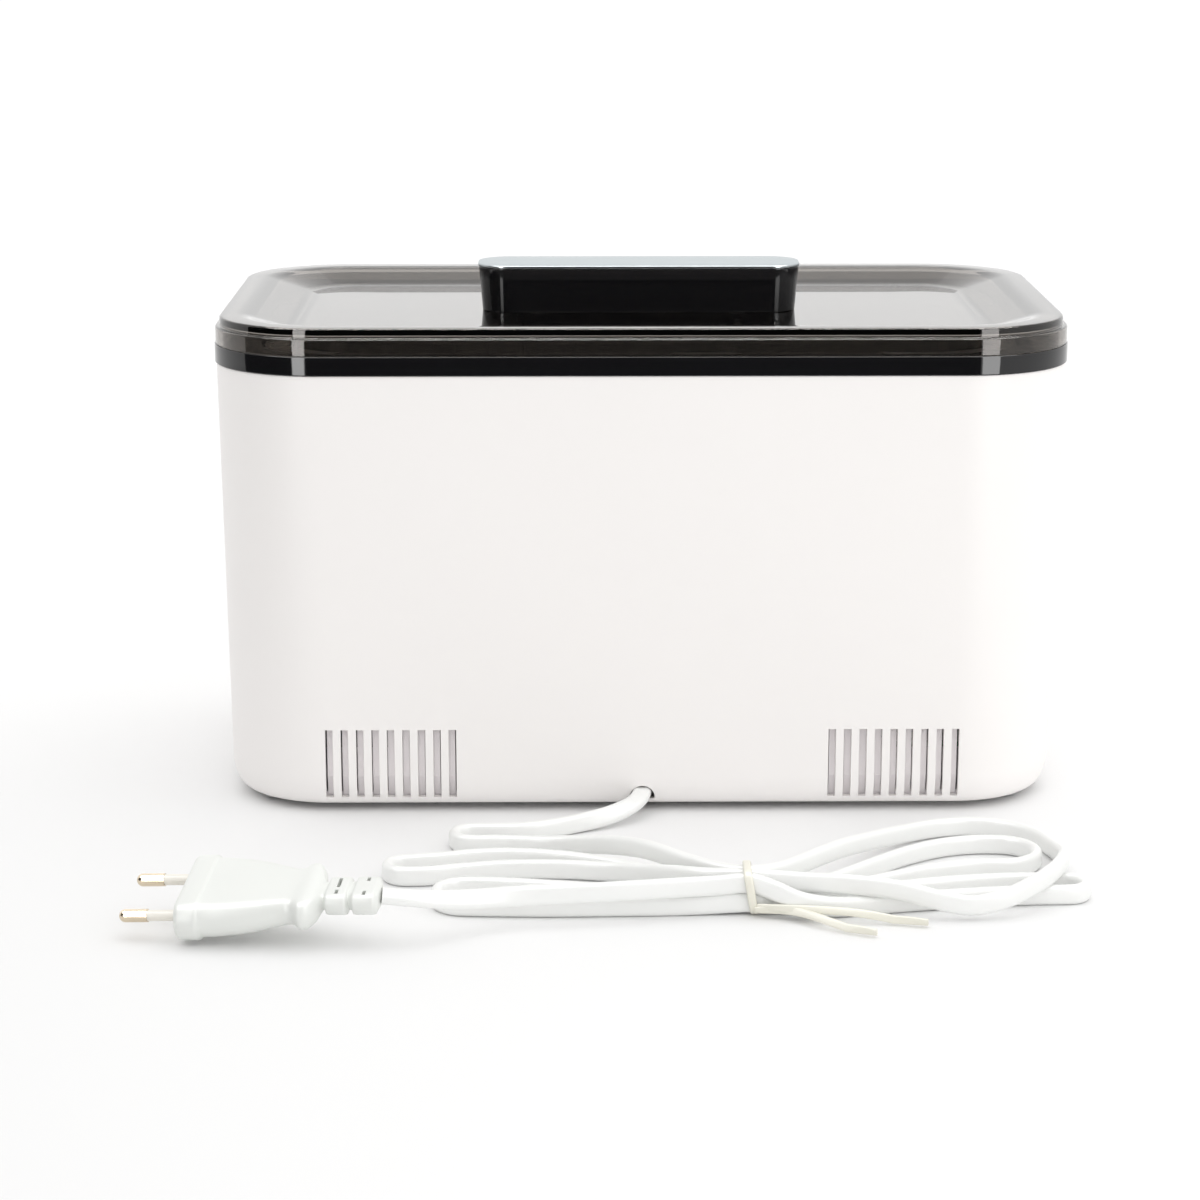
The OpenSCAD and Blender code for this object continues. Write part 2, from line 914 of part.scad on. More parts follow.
module fuse_holder() {
    clip_y = 12;
    clip_w = 5;
    clip_h = 7;
    fuse_r = 2.6;
    fuse_l = 22;
    color(silver) {
        translate([board_x - 20, clip_y, board_top]) cube([8, clip_w, clip_h]);
        translate([board_x - 6, clip_y, board_top]) cube([6, clip_w, clip_h]);
        translate([board_x - 21, clip_y + clip_w / 2, board_top + clip_h + fuse_r]) {
            rotate([0, 90, 0]) cylinder(r = fuse_r, h = fuse_l);
        }
    }
}

module terminal_blocks() {
    block_w = 8;
    color("white") {
        translate([board_x + 1, -38, board_top]) cube([16, block_w, 10]);
        translate([board_x + 1, 40, board_top]) cube([11, block_w, 8]);
    }
}

module transformer_core() {
    window_d = (core_d - 2 * core_t) / 2;
    color("dimgray") {
        difference() {
            translate([coil_x - core_w / 2, -core_d / 2, base_top]) cube([core_w, core_d, core_h]);
            for (side = [-1, 1]) {
                translate([coil_x - core_w / 2 - over, side * coil_y - window_d / 2, base_top + core_t]) {
                    cube([core_w + 2 * over, window_d, core_h - 2 * core_t]);
                }
            }
            for (x = [-1, 1]) {
                translate([coil_x + x * transformer_screw_x, 0, base_top - over]) {
                    cylinder(r = screw_r + screw_fit, h = core_t);
                }
            }
        }
    }
}

module transformer_coil() {
    coil_t = 2.6;
    coil_out = 3;
    leg_z = base_top + core_t + coil_gap;
    leg_h = core_h - 2 * core_t - 2 * coil_gap;
    color([0.80, 0.50, 0.25]) {
        for (side = [-1, 1]) {
            translate([coil_x - core_w / 2 - coil_out, side * coil_y - coil_t / 2, leg_z]) {
                cube([core_w + 2 * coil_out, coil_t, leg_h]);
            }
        }
    }
}

module transformer_screws() {
    grip_l = 5;
    color(steel) {
        for (x = [-1, 1]) {
            translate([coil_x + x * transformer_screw_x, 0, 0]) rising_screw(foot_h, base_t + grip_l);
        }
    }
}

module earth_tag() {
    tag_r = 5;
    tag_w = 6;
    tag_l = 14;
    color(brass_tone) {
        translate([sensor_x, earth_y, tank_bottom]) {
            translate([0, 0, -earth_tag_t]) {
                cylinder(r = tag_r, h = earth_tag_t);
                translate([-tag_w / 2, 0, 0]) cube([tag_w, tag_l, earth_tag_t]);
            }
            translate([0, 0, -earth_stud_l]) cylinder(r = earth_stud_r, h = earth_stud_l);
        }
    }
}

module earth_nut() {
    nut_r = 4.2;
    color(steel) {
        translate([sensor_x, earth_y, tank_bottom - earth_tag_t - earth_nut_h]) {
            difference() {
                cylinder(r = nut_r, h = earth_nut_h, $fn = 6);
                translate([0, 0, -over]) cylinder(r = earth_stud_r + screw_fit, h = earth_nut_h + 2 * over);
            }
        }
    }
}

// ---- Wiring ----

module mains_leads() {
    color([0.45, 0.30, 0.20]) {
        for (route = mains_routes) {
            tube(route, lead_r, lead_sides);
        }
    }
}

module transducer_leads() {
    color("red") {
        for (route = transducer_routes) {
            tube(route, lead_r, lead_sides);
        }
    }
}

module panel_harness() {
    strands = 4;
    strand_pitch = 2.4 * lead_r;
    color("lightgray") {
        for (k = [0:strands - 1]) {
            tube([for (p = harness_route) p + [0, 0, strand_pitch * k]], lead_r, lead_sides);
        }
    }
}

// ---- Front panel ----

module control_panel() {
    color(black) {
        difference() {
            union() {
                front_block(panel_w, panel_h, panel_r, 0, panel_z, panel_front, panel_rear);
                front_block(panel_w + 2 * panel_lip, panel_h + 2 * panel_lip, panel_r, 0, panel_z,
                    panel_rear, panel_back);
                panel_posts() bar_y(standoff_r, 0, 0, panel_back - slice, control_front);
            }
            front_block(window_w, window_h, window_r, 0, window_z,
                panel_front - over, panel_front + window_t);
            front_block(window_w - 2 * window_ledge, window_h - 2 * window_ledge, window_r, 0, window_z,
                panel_front - over, panel_back + over);
            for (x = button_x) {
                front_block(button_w + 2 * button_fit, button_h + 2 * button_fit, button_r + button_fit,
                    x, button_z, panel_front - over, panel_back + over);
                bar_y(light_r + screw_fit, x, light_z, panel_front - over, panel_back + over);
            }
            panel_posts() bar_y(screw_r + screw_fit, 0, 0, panel_rear, control_front + over);
        }
    }
}

module panel_posts() {
    for (i = [-1, 1], j = [-1, 1]) {
        translate([i * post_x, 0, panel_z + j * post_z]) children();
    }
}

module display_window() {
    color([0.10, 0.05, 0.05, 0.7]) {
        front_block(window_w - 2 * window_fit, window_h - 2 * window_fit, window_r, 0, window_z,
            panel_front, panel_front + window_t);
    }
}

module display_module() {
    color([0.75, 0.74, 0.72]) {
        front_block(window_w - 2 * display_inset, window_h - 2 * display_inset, 1, 0, window_z,
            panel_back + display_gap, control_front);
    }
}

module indicator_lights() {
    color([0.5, 0.9, 0.4]) {
        for (x = button_x) {
            bar_y(light_r, x, light_z, panel_front, panel_back + light_tail);
        }
    }
}

module control_board() {
    color(board_green) {
        difference() {
            front_block(control_w, control_h, 3, 0, panel_z, control_front, control_front + board_t);
            panel_posts() bar_y(screw_pass_r, 0, 0, control_front - over, control_front + board_t + over);
        }
    }
}

module control_board_screws() {
    color(steel) {
        panel_posts() {
            bar_y(screw_head_r, 0, 0, control_front + board_t, control_front + board_t + screw_head_h);
            bar_y(screw_r, 0, 0, control_front - control_screw_l, control_front + board_t);
        }
    }
}

module tact_switches() {
    color("dimgray") {
        for (x = button_x) {
            difference() {
                front_block(switch_w, switch_w, 0.5, x, button_z, switch_front, control_front);
                bar_y(plunger_r + plunger_fit, x, button_z, switch_front - over, switch_front + switch_bore);
            }
        }
    }
}

module push_button(i, tint) {
    x = button_x[i];
    color(tint) {
        front_block(button_w, button_h, button_r, x, button_z,
            button_front, button_back - button_flange_t + slice);
        front_block(button_w + 2 * button_flange, button_h + 2 * button_flange, button_r, x, button_z,
            button_back - button_flange_t, button_back);
        bar_y(plunger_r, x, button_z, button_back - slice, button_back + plunger_l);
    }
}

module time_button() {
    push_button(0, "silver");
}

module heat_button() {
    push_button(1, "silver");
}

module start_button() {
    push_button(2, "silver");
}

module stop_button() {
    push_button(3, "silver");
}

// ---- Cord entry ----

module cord_grommet() {
    color(cord_white) {
        difference() {
            translate([0, grommet_y, cord_z]) rotate([-90, 0, 0]) {
                cylinder(r1 = grommet_r - grommet_taper, r2 = grommet_r, h = grommet_l);
            }
            bar_y(grommet_bore, 0, cord_z + 0.1, grommet_y - over, grommet_y + grommet_l + over);
        }
    }
}

module cord_clamp() {
    color("dimgray") {
        difference() {
            translate([0, clamp_post_y, base_top + clamp_post_h]) {
                translate([-clamp_post_x - clamp_bar_w / 2, -clamp_bar_w / 2, 0]) {
                    cube([2 * clamp_post_x + clamp_bar_w, clamp_bar_w, clamp_bar_t]);
                }
            }
            for (x = [-1, 1]) {
                translate([x * clamp_post_x, clamp_post_y, base_top]) {
                    cylinder(r = screw_pass_r, h = clamp_post_h + clamp_bar_t + over);
                }
            }
        }
    }
}

module cord_clamp_screws() {
    shank_l = 6;
    color(steel) {
        for (x = [-1, 1]) {
            translate([x * clamp_post_x, clamp_post_y, base_top + clamp_post_h + clamp_bar_t]) {
                cylinder(r = screw_head_r, h = screw_head_h);
                translate([0, 0, -shank_l]) cylinder(r = screw_r, h = shank_l);
            }
        }
    }
}

// ---- Cord, hank and plug ----

module mains_cord() {
    color(cord_white) tube(lead_points, cord_r, cord_sides);
}

module cord_tail() {
    color(cord_white) tube(tail_points, cord_r, cord_sides);
}

module wrapped(circles) {
    hull() {
        for (c = circles) {
            translate([c[0], c[1]]) circle(r = c[2], $fn = hull_fn);
        }
    }
}

module cord_hank() {
    color(cord_white) {
        difference() {
            linear_extrude(hank_h) {
                wrapped(hank_plug_end);
                wrapped(hank_far_end);
            }
            translate([tie_x - tie_w / 2 - tie_fit, tie_y - tie_half - over, -over]) {
                cube([tie_w + 2 * tie_fit, 2 * (tie_half + over), over + tie_t + tie_fit]);
            }
            for (side = [-1, 1]) {
                translate([tie_x, tie_y + side * (tie_half + over), hank_h / 2]) {
                    cube([tie_w + 2 * tie_fit, 2 * (over + tie_t + tie_fit), hank_h + 2 * over],
                        center = true);
                }
            }
        }
    }
}

module cord_tie() {
    color([0.93, 0.91, 0.83]) {
        difference() {
            translate([tie_x - tie_w / 2, tie_y - tie_half, 0]) {
                cube([tie_w, 2 * tie_half, hank_h + 2 * tie_t]);
            }
            translate([tie_x - tie_w, tie_y - tie_half + tie_t, tie_t]) {
                cube([2 * tie_w, 2 * tie_half - 2 * tie_t, hank_h + tie_fit]);
            }
        }
        for (end = tie_ends) {
            translate([end[0][0], end[0][1], 0]) rotate([0, 0, end[1]]) cube([end[2], tie_end_w, tie_t]);
        }
    }
}

module plug_place() {
    translate(plug_at) rotate(plug_turn) children();
}

// Slab across the plug, from x0 to x1 along its length
module plug_slab(w, h, x0, x1) {
    translate([x0, 0, 0]) rotate([90, 0, 90]) {
        linear_extrude(x1 - x0) outline(w, h, h / 2 - slice, $fn = hull_fn);
    }
}

module plug_body() {
    boot_back = grip_back + ridge_l + boot_l;
    color(cord_white) {
        plug_place() {
            difference() {
                union() {
                    plug_slab(collar_w, collar_h, -collar_l, 0);
                    hull() {
                        plug_slab(grip_w_front, grip_h_front, -collar_l, -collar_l + slice);
                        plug_slab(grip_w_back, ridge_h, -grip_back, -grip_back + slice);
                    }
                    hull() {
                        plug_slab(grip_w_back, ridge_h, -grip_back, -grip_back + slice);
                        plug_slab(ridge_w, ridge_h, -grip_back - ridge_l / 2, -grip_back - ridge_l / 3);
                        plug_slab(boot_w, boot_h, -grip_back - ridge_l, -grip_back - ridge_l + slice);
                    }
                    plug_slab(boot_w, boot_h, -boot_back, -grip_back - ridge_l + slice);
                }
                for (y = [-1, 1]) {
                    translate([-pin_root, y * pin_gap / 2, 0]) rotate([0, 90, 0]) {
                        cylinder(r = pin_core_r + pin_core_fit, h = pin_root + over);
                    }
                }
            }
        }
    }
}

module plug_sleeves() {
    color("white") {
        plug_place() {
            for (y = [-1, 1]) {
                translate([0, y * pin_gap / 2, 0]) rotate([0, 90, 0]) {
                    washer(sleeve_r, pin_core_r + pin_core_fit, 0, sleeve_l);
                }
            }
        }
    }
}

module plug_pins() {
    color(brass_tone) {
        plug_place() {
            for (y = [-1, 1]) {
                translate([0, y * pin_gap / 2, 0]) rotate([0, 90, 0]) {
                    translate([0, 0, -pin_root]) cylinder(r = pin_core_r, h = pin_root + sleeve_l);
                    translate([0, 0, sleeve_l]) cylinder(r = pin_r, h = pin_l - sleeve_l - pin_r);
                    translate([0, 0, pin_l - pin_r]) sphere(r = pin_r);
                }
            }
        }
    }
}

// ---- Lid ----

module dish(grow, drop, lift) {
    top_w = body_w - 2 * lid_inset - 2 * ledge_w - 2 * rim_w;
    top_d = body_d - 2 * lid_inset - 2 * ledge_w - 2 * rim_w;
    hull() {
        translate([0, 0, rim_top + lift - slice]) {
            linear_extrude(slice) outline(top_w + 2 * grow, top_d + 2 * grow, dish_r + grow, $fn = hull_fn);
        }
        translate([0, 0, dish_top - drop]) {
            linear_extrude(slice) {
                outline(top_w - 2 * slope_w + 2 * grow, top_d - 2 * slope_w + 2 * grow, dish_floor_r + grow,
                    $fn = hull_fn);
            }
        }
    }
}

module lid_shell() {
    skirt_w = body_w - 2 * lid_inset;
    skirt_d = body_d - 2 * lid_inset;
    skirt_r = corner_r - lid_inset;
    skirt_t = lid_t + ledge_w / 2;
    rim_out_w = skirt_w - 2 * ledge_w;
    rim_out_d = skirt_d - 2 * ledge_w;
    guide_w = tank_w - 2 * guide_gap;
    guide_d = tank_d - 2 * guide_gap;
    color(smoke) {
        difference() {
            union() {
                difference() {
                    union() {
                        block(skirt_w, skirt_d, skirt_r, lid_z, ledge_z);
                        block(rim_out_w, rim_out_d, skirt_r - ledge_w, lid_z, rim_top);
                    }
                    block(skirt_w - 2 * skirt_t, skirt_d - 2 * skirt_t, skirt_r - skirt_t,
                        lid_z - over, rim_top - lid_t);
                }
                intersection() {
                    dish(lid_t, lid_t, 0);
                    block(rim_out_w, rim_out_d, skirt_r - ledge_w, lid_z, rim_top);
                }
                ring(guide_w, guide_d, tank_r - guide_gap, guide_t,
                    dish_under - guide_drop, dish_top - guide_root);
            }
            dish(0, 0, over);
            for (x = [-1, 1]) {
                translate([x * handle_screw_gap / 2, 0, dish_under - over]) {
                    cylinder(r = screw_pass_r, h = lid_t + 2 * over);
                }
            }
        }
    }
}

module lid_handle() {
    color(black) {
        difference() {
            loft(handle_l, handle_w, handle_r, [[dish_top, handle_lean], [handle_top - cap_t, 0]]);
            for (x = [-1, 1]) {
                translate([x * handle_screw_gap / 2, 0, dish_top - over]) {
                    cylinder(r = screw_r + screw_fit, h = handle_bore_top - dish_top + over);
                }
            }
        }
    }
}

module handle_cap() {
    color(silver) block(handle_l, handle_w, handle_r, handle_top - cap_t, handle_top);
}

module handle_screws() {
    color(steel) {
        for (x = [-1, 1]) {
            translate([x * handle_screw_gap / 2, 0, 0]) rising_screw(dish_under, handle_screw_l);
        }
    }
}

// ---- Basket ----

module basket_slots() {
    long_n = 9;
    short_n = 4;
    slot_pitch = 9.6;
    slot_margin = 10;
    slot_z = basket_z + slot_margin;
    slot_h = basket_h - slot_margin - 12;
    for (i = [-long_n:long_n]) {
        translate([i * slot_pitch - basket_slot / 2, -basket_d, slot_z]) {
            cube([basket_slot, 2 * basket_d, slot_h]);
        }
    }
    for (i = [-short_n:short_n]) {
        translate([-basket_w, i * slot_pitch - basket_slot / 2, slot_z]) {
            cube([2 * basket_w, basket_slot, slot_h]);
        }
    }
    for (i = [-long_n:long_n], j = [-1, 1]) {
        translate([i * slot_pitch - basket_slot / 2, j * basket_d / 4 - basket_d / 6, basket_z - over]) {
            cube([basket_slot, basket_d / 3, basket_t + 2 * over]);
        }
    }
}

// Arch that stands on the basket's rim, open below it for the fingers
module basket_grip() {
    grip_x = basket_w / 2 - grip_t;
    translate([grip_x, 0, basket_top]) rotate([90, 0, 90]) {
        linear_extrude(grip_t) {
            intersection() {
                difference() {
                    outline(grip_w, 2 * grip_h, grip_r);
                    outline(grip_w - 2 * grip_side, 2 * (grip_h - grip_bar), grip_r / 2);
                }
                translate([-grip_w, -slice]) square([2 * grip_w, 2 * grip_h]);
            }
        }
    }
}

module basket() {
    color([0.80, 0.80, 0.80]) {
        difference() {
            union() {
                block(basket_w, basket_d, basket_r, basket_z, basket_top);
                block(basket_w + 2 * basket_rim, basket_d + 2 * basket_rim, basket_r + basket_rim,
                    basket_top - basket_rim_t, basket_top);
            }
            block(basket_w - 2 * basket_t, basket_d - 2 * basket_t, basket_r - basket_t,
                basket_z + basket_t, basket_top + over);
            basket_slots();
        }
        basket_grip();
        mirror([1, 0, 0]) basket_grip();
        four(basket_foot_x, basket_foot_y) {
            translate([0, 0, tank_floor + basket_foot_gap]) {
                cylinder(r = basket_foot_r, h = basket_lift - basket_foot_gap + slice);
            }
        }
    }
}

housing_shell();
trim_ring();
base_cover();
base_screws();
feet();
vent_baffle_left();
vent_baffle_right();
tank();
tank_seal();
tank_clamps();
clamp_screws();
heater_pad();
temperature_sensor();
transducer_horns();
piezo_rings();
electrodes();
back_masses();
transducer_bolts();
power_board();
power_board_screws();
heat_sink();
power_transistors();
capacitors();
relay();
fuse_holder();
terminal_blocks();
transformer_core();
transformer_coil();
transformer_screws();
earth_tag();
earth_nut();
mains_leads();
transducer_leads();
panel_harness();
control_panel();
display_window();
display_module();
indicator_lights();
control_board();
control_board_screws();
tact_switches();
time_button();
heat_button();
start_button();
stop_button();
cord_grommet();
cord_clamp();
cord_clamp_screws();
mains_cord();
cord_hank();
cord_tie();
cord_tail();
plug_body();
plug_sleeves();
plug_pins();
lid_shell();
lid_handle();
handle_cap();
handle_screws();
basket();
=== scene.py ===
import math

import bmesh
import bpy
from mathutils import Matrix, Vector


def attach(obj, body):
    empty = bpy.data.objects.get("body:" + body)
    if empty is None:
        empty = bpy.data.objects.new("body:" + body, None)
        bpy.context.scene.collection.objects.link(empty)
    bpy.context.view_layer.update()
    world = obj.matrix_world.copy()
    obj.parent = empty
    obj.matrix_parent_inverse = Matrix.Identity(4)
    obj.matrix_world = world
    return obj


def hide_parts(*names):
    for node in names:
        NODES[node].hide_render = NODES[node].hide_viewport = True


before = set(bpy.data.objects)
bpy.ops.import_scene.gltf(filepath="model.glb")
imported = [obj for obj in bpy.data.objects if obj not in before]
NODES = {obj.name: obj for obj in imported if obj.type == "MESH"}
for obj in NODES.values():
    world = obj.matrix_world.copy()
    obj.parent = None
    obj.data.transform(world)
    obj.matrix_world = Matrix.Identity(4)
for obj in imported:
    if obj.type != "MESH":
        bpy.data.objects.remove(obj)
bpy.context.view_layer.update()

MM = 0.001
CORNER_STEPS = 20
CREASE = 32
SOFT_CREASE = 50
WELD = 1e-7
LEAST_RADIUS = 0.2
# The most of a side that a rounded corner may take
CUT_SHARE = 0.49
BEVEL_ANGLE = 50
FLAT_WEIGHT = 90
QUARTER_STEPS = 10


# ---- Mesh helpers, all in millimetres and degrees ----

def outline(w, d, r, steps=CORNER_STEPS):
    """Points of a rectangle with round corners, counter-clockwise."""
    points = []
    centres = (
        (w / 2 - r, d / 2 - r), (r - w / 2, d / 2 - r), (r - w / 2, r - d / 2), (w / 2 - r, r - d / 2),
    )
    for quarter, (cx, cy) in enumerate(centres):
        for i in range(steps + 1):
            a = math.radians(90 * (quarter + i / steps))
            points.append((cx + r * math.cos(a), cy + r * math.sin(a)))
    return points


def mesh_object(name, points, faces, crease=CREASE):
    """A mesh from points in millimetres, smooth but where its faces meet at more than the crease."""
    mesh = bpy.data.meshes.new(name)
    mesh.from_pydata([Vector(p) * MM for p in points], [], faces)
    tidy_mesh(mesh, crease)
    obj = bpy.data.objects.new(name, mesh)
    bpy.context.scene.collection.objects.link(obj)
    return obj


def tidy_mesh(mesh, crease):
    """Joins points that meet, turns every face outward and marks the edges that stay sharp."""
    work = bmesh.new()
    work.from_mesh(mesh)
    bmesh.ops.remove_doubles(work, verts=work.verts, dist=WELD)
    bmesh.ops.recalc_face_normals(work, faces=work.faces)
    work.to_mesh(mesh)
    work.free()
    mesh.validate()
    mesh.shade_smooth()
    mesh.set_sharp_from_angle(angle=math.radians(crease))


def loft(name, rings, loop=False, crease=CREASE):
    """Rings of equal count joined by quads, closed by end faces unless the rings form a loop."""
    n = len(rings[0])
    points = [p for ring in rings for p in ring]
    faces = []
    spans = len(rings) if loop else len(rings) - 1
    for i in range(spans):
        a, b = i * n, ((i + 1) % len(rings)) * n
        for k in range(n):
            m = (k + 1) % n
            faces.append((a + k, a + m, b + m, b + k))
    if not loop:
        faces.append(tuple(range(n - 1, -1, -1)))
        faces.append(tuple(range((len(rings) - 1) * n, len(rings) * n)))
    return mesh_object(name, points, faces, crease)


def soften(levels, loop, steps=5):
    """Levels (width, depth, radius, z, cut) with their corners rounded, each from its cut's distance."""
    out = []
    for i, level in enumerate(levels):
        here, cut = Vector(level[:4]), level[4]
        if cut == 0 or (not loop and i in (0, len(levels) - 1)):
            out.append(here)
            continue
        ends = []
        for other in (levels[i - 1], levels[(i + 1) % len(levels)]):
            way = Vector(other[:4]) - here
            length = math.hypot(way[0] / 2, way[3])
            ends.append(here + way * min(cut / length, CUT_SHARE))
        for k in range(steps + 1):
            s = k / steps
            out.append(ends[0] * (1 - s) ** 2 + here * 2 * s * (1 - s) + ends[1] * s * s)
    return out


def shell_of(name, levels, loop=False, steps=5):
    """A piece whose level curves are all rectangles with round corners."""
    rings = [
        [(x, y, z) for x, y in outline(w, d, max(r, LEAST_RADIUS))]
        for w, d, r, z in soften(levels, loop, steps)
    ]
    return loft(name, rings, loop)


def face_front(obj, x, z):
    """Turns a piece that was built upright so that its top faces the front, centred at x and z."""
    turn = Matrix.Rotation(math.radians(90), 4, "X")
    obj.data.transform(Matrix.Translation(Vector((x, 0, z)) * MM) @ turn)
    return obj


def box_points(x0, x1, y0, y1, z0, z1):
    return [(x, y, z) for x in (x0, x1) for y in (y0, y1) for z in (z0, z1)]


BOX_FACES = [(0, 1, 3, 2), (4, 6, 7, 5), (0, 4, 5, 1), (2, 3, 7, 6), (0, 2, 6, 4), (1, 5, 7, 3)]


def many_boxes(name, boxes):
    """Boxes (x0, x1, y0, y1, z0, z1) in one mesh."""
    points, faces = [], []
    for b in boxes:
        at = len(points)
        points += box_points(*b)
        faces += [tuple(at + i for i in f) for f in BOX_FACES]
    return mesh_object(name, points, faces)


def write_modifiers(obj):
    """Replaces the piece's mesh by what its modifiers make of it."""
    view = bpy.context.evaluated_depsgraph_get()
    view.update()
    mesh = bpy.data.meshes.new_from_object(obj.evaluated_get(view))
    obj.modifiers.clear()
    obj.data = mesh


def cut(obj, cutters, bevel=0.0, crease=CREASE):
    """Takes the cutters out of a piece and softens the edges that are left."""
    for cutter in cutters:
        change = obj.modifiers.new("cut", "BOOLEAN")
        change.operation = "DIFFERENCE"
        change.solver = "EXACT"
        change.object = cutter
    if bevel:
        rounding = obj.modifiers.new("edge", "BEVEL")
        rounding.width = bevel * MM
        rounding.segments = 2
        rounding.limit_method = "ANGLE"
        rounding.angle_limit = math.radians(BEVEL_ANGLE)
        rounding.use_clamp_overlap = True
    write_modifiers(obj)
    tidy_mesh(obj.data, crease)
    for cutter in cutters:
        bpy.data.objects.remove(cutter)


def flat_faces_first(obj):
    """Gives each corner the normal of the largest smooth face there, so that flat faces stay flat."""
    change = obj.modifiers.new("normals", "WEIGHTED_NORMAL")
    change.weight = FLAT_WEIGHT
    change.keep_sharp = True
    write_modifiers(obj)


def joined(name, parts, crease=CREASE):
    """Several meshes as one piece."""
    work = bmesh.new()
    for part in parts:
        work.from_mesh(part.data)
    mesh = bpy.data.meshes.new(name)
    work.to_mesh(mesh)
    work.free()
    for part in parts:
        bpy.data.objects.remove(part)
    tidy_mesh(mesh, crease)
    obj = bpy.data.objects.new(name, mesh)
    bpy.context.scene.collection.objects.link(obj)
    return obj


# ---- Materials ----

# The part of a noise that a finish's tone and gloss follow
NOISE_LOW = 0.3
NOISE_HIGH = 0.7
RELIEF_STRENGTH = 0.5


def surface(name, color, rough, shade=0.03, spread=0.04, patch=9.0, grain=700.0, depth=0.00001,
            stretch=(1, 1, 1), metallic=0.0, **sockets):
    """A procedural finish: patches in its tone (shade) and gloss (spread), and a fine relief (grain)."""
    made = bpy.data.materials.new(name)
    made.use_nodes = True
    nodes, links = made.node_tree.nodes, made.node_tree.links
    shader = nodes["Principled BSDF"]
    shader.inputs["Metallic"].default_value = metallic
    for socket, value in sockets.items():
        shader.inputs[socket.replace("_", " ")].default_value = value
    place = nodes.new("ShaderNodeTexCoord")
    patches = nodes.new("ShaderNodeTexNoise")
    patches.inputs["Scale"].default_value = patch
    patches.inputs["Detail"].default_value = 5
    links.new(place.outputs["Object"], patches.inputs["Vector"])
    tone = nodes.new("ShaderNodeValToRGB")
    tone.color_ramp.elements[0].position = NOISE_LOW
    tone.color_ramp.elements[0].color = [c * (1 - shade) for c in color] + [1]
    tone.color_ramp.elements[1].position = NOISE_HIGH
    tone.color_ramp.elements[1].color = [min(1, c * (1 + shade / 2)) for c in color] + [1]
    links.new(patches.outputs["Fac"], tone.inputs["Fac"])
    links.new(tone.outputs["Color"], shader.inputs["Base Color"])
    gloss = nodes.new("ShaderNodeMapRange")
    gloss.inputs["From Min"].default_value = NOISE_LOW
    gloss.inputs["From Max"].default_value = NOISE_HIGH
    gloss.inputs["To Min"].default_value = max(0.0, rough - spread)
    gloss.inputs["To Max"].default_value = min(1.0, rough + spread)
    links.new(patches.outputs["Fac"], gloss.inputs["Value"])
    links.new(gloss.outputs["Result"], shader.inputs["Roughness"])
    scaled = nodes.new("ShaderNodeMapping")
    scaled.inputs["Scale"].default_value = stretch
    links.new(place.outputs["Object"], scaled.inputs["Vector"])
    relief = nodes.new("ShaderNodeTexNoise")
    relief.inputs["Scale"].default_value = grain
    relief.inputs["Detail"].default_value = 3
    links.new(scaled.outputs["Vector"], relief.inputs["Vector"])
    bump = nodes.new("ShaderNodeBump")
    bump.inputs["Strength"].default_value = RELIEF_STRENGTH
    bump.inputs["Distance"].default_value = depth
    links.new(relief.outputs["Fac"], bump.inputs["Height"])
    links.new(bump.outputs["Normal"], shader.inputs["Normal"])
    return made


def paint(obj, finish):
    """Gives the whole piece one finish."""
    obj.data.materials.clear()
    obj.data.materials.append(finish)


white_shell = surface(
    "white_shell", (0.945, 0.92, 0.905), rough=0.42, shade=0.012, spread=0.03, patch=6, grain=1500,
    depth=0.000004, Specular_IOR_Level=0.25,
)
black_trim = surface(
    "black_trim", (0.006, 0.006, 0.007), rough=0.06, shade=0.1, spread=0.02, patch=14, grain=900,
    depth=0.000002,
)
base_plastic = surface(
    "base_plastic", (0.80, 0.79, 0.78), rough=0.5, shade=0.03, spread=0.05, patch=9, grain=1200,
    depth=0.00001,
)
smoked_lid = surface(
    "smoked_lid", (0.25, 0.23, 0.21), rough=0.02, shade=0.02, spread=0.006, patch=10, grain=200,
    depth=0.0000001, Transmission_Weight=1.0, IOR=1.52, Specular_Tint=(1.0, 0.965, 0.94, 1),
)
handle_silver = surface(
    "handle_silver", (0.42, 0.445, 0.455), rough=0.24, shade=0.03, spread=0.05, patch=10, grain=500,
    depth=0.000004, stretch=(3, 60, 1), metallic=1.0, Specular_Tint=(0.74, 0.77, 0.78, 1),
)
cord_vinyl = surface(
    "cord_vinyl", (0.90, 0.905, 0.89), rough=0.36, shade=0.02, spread=0.06, patch=30, grain=1400,
    depth=0.00001,
)
plug_vinyl = surface(
    "plug_vinyl", (0.80, 0.815, 0.785), rough=0.38, shade=0.015, spread=0.05, patch=25, grain=1600,
    depth=0.000012,
)
tie_vinyl = surface(
    "tie_vinyl", (0.84, 0.82, 0.72), rough=0.4, shade=0.04, spread=0.06, patch=60, grain=1500,
    depth=0.00002,
)
baffle_plastic = surface(
    "baffle_plastic", (0.93, 0.89, 0.905), rough=0.55, shade=0.05, spread=0.05, patch=40, grain=1400,
    depth=0.00001,
)
tank_steel = surface(
    "tank_steel", (0.62, 0.62, 0.61), rough=0.27, shade=0.04, spread=0.06, patch=18, grain=240,
    depth=0.000006, stretch=(1, 1, 14), metallic=1.0,
)
basket_plastic = surface(
    "basket_plastic", (0.42, 0.43, 0.44), rough=0.42, shade=0.04, spread=0.06, patch=20, grain=1100,
    depth=0.000012,
)
panel_gloss = surface(
    "panel_gloss", (0.008, 0.008, 0.010), rough=0.05, shade=0.1, spread=0.02, patch=14, grain=900,
    depth=0.000002,
)
display_glass = surface(
    "display_glass", (0.02, 0.022, 0.026), rough=0.04, shade=0.05, spread=0.01, patch=12, grain=400,
    depth=0.000001,
)
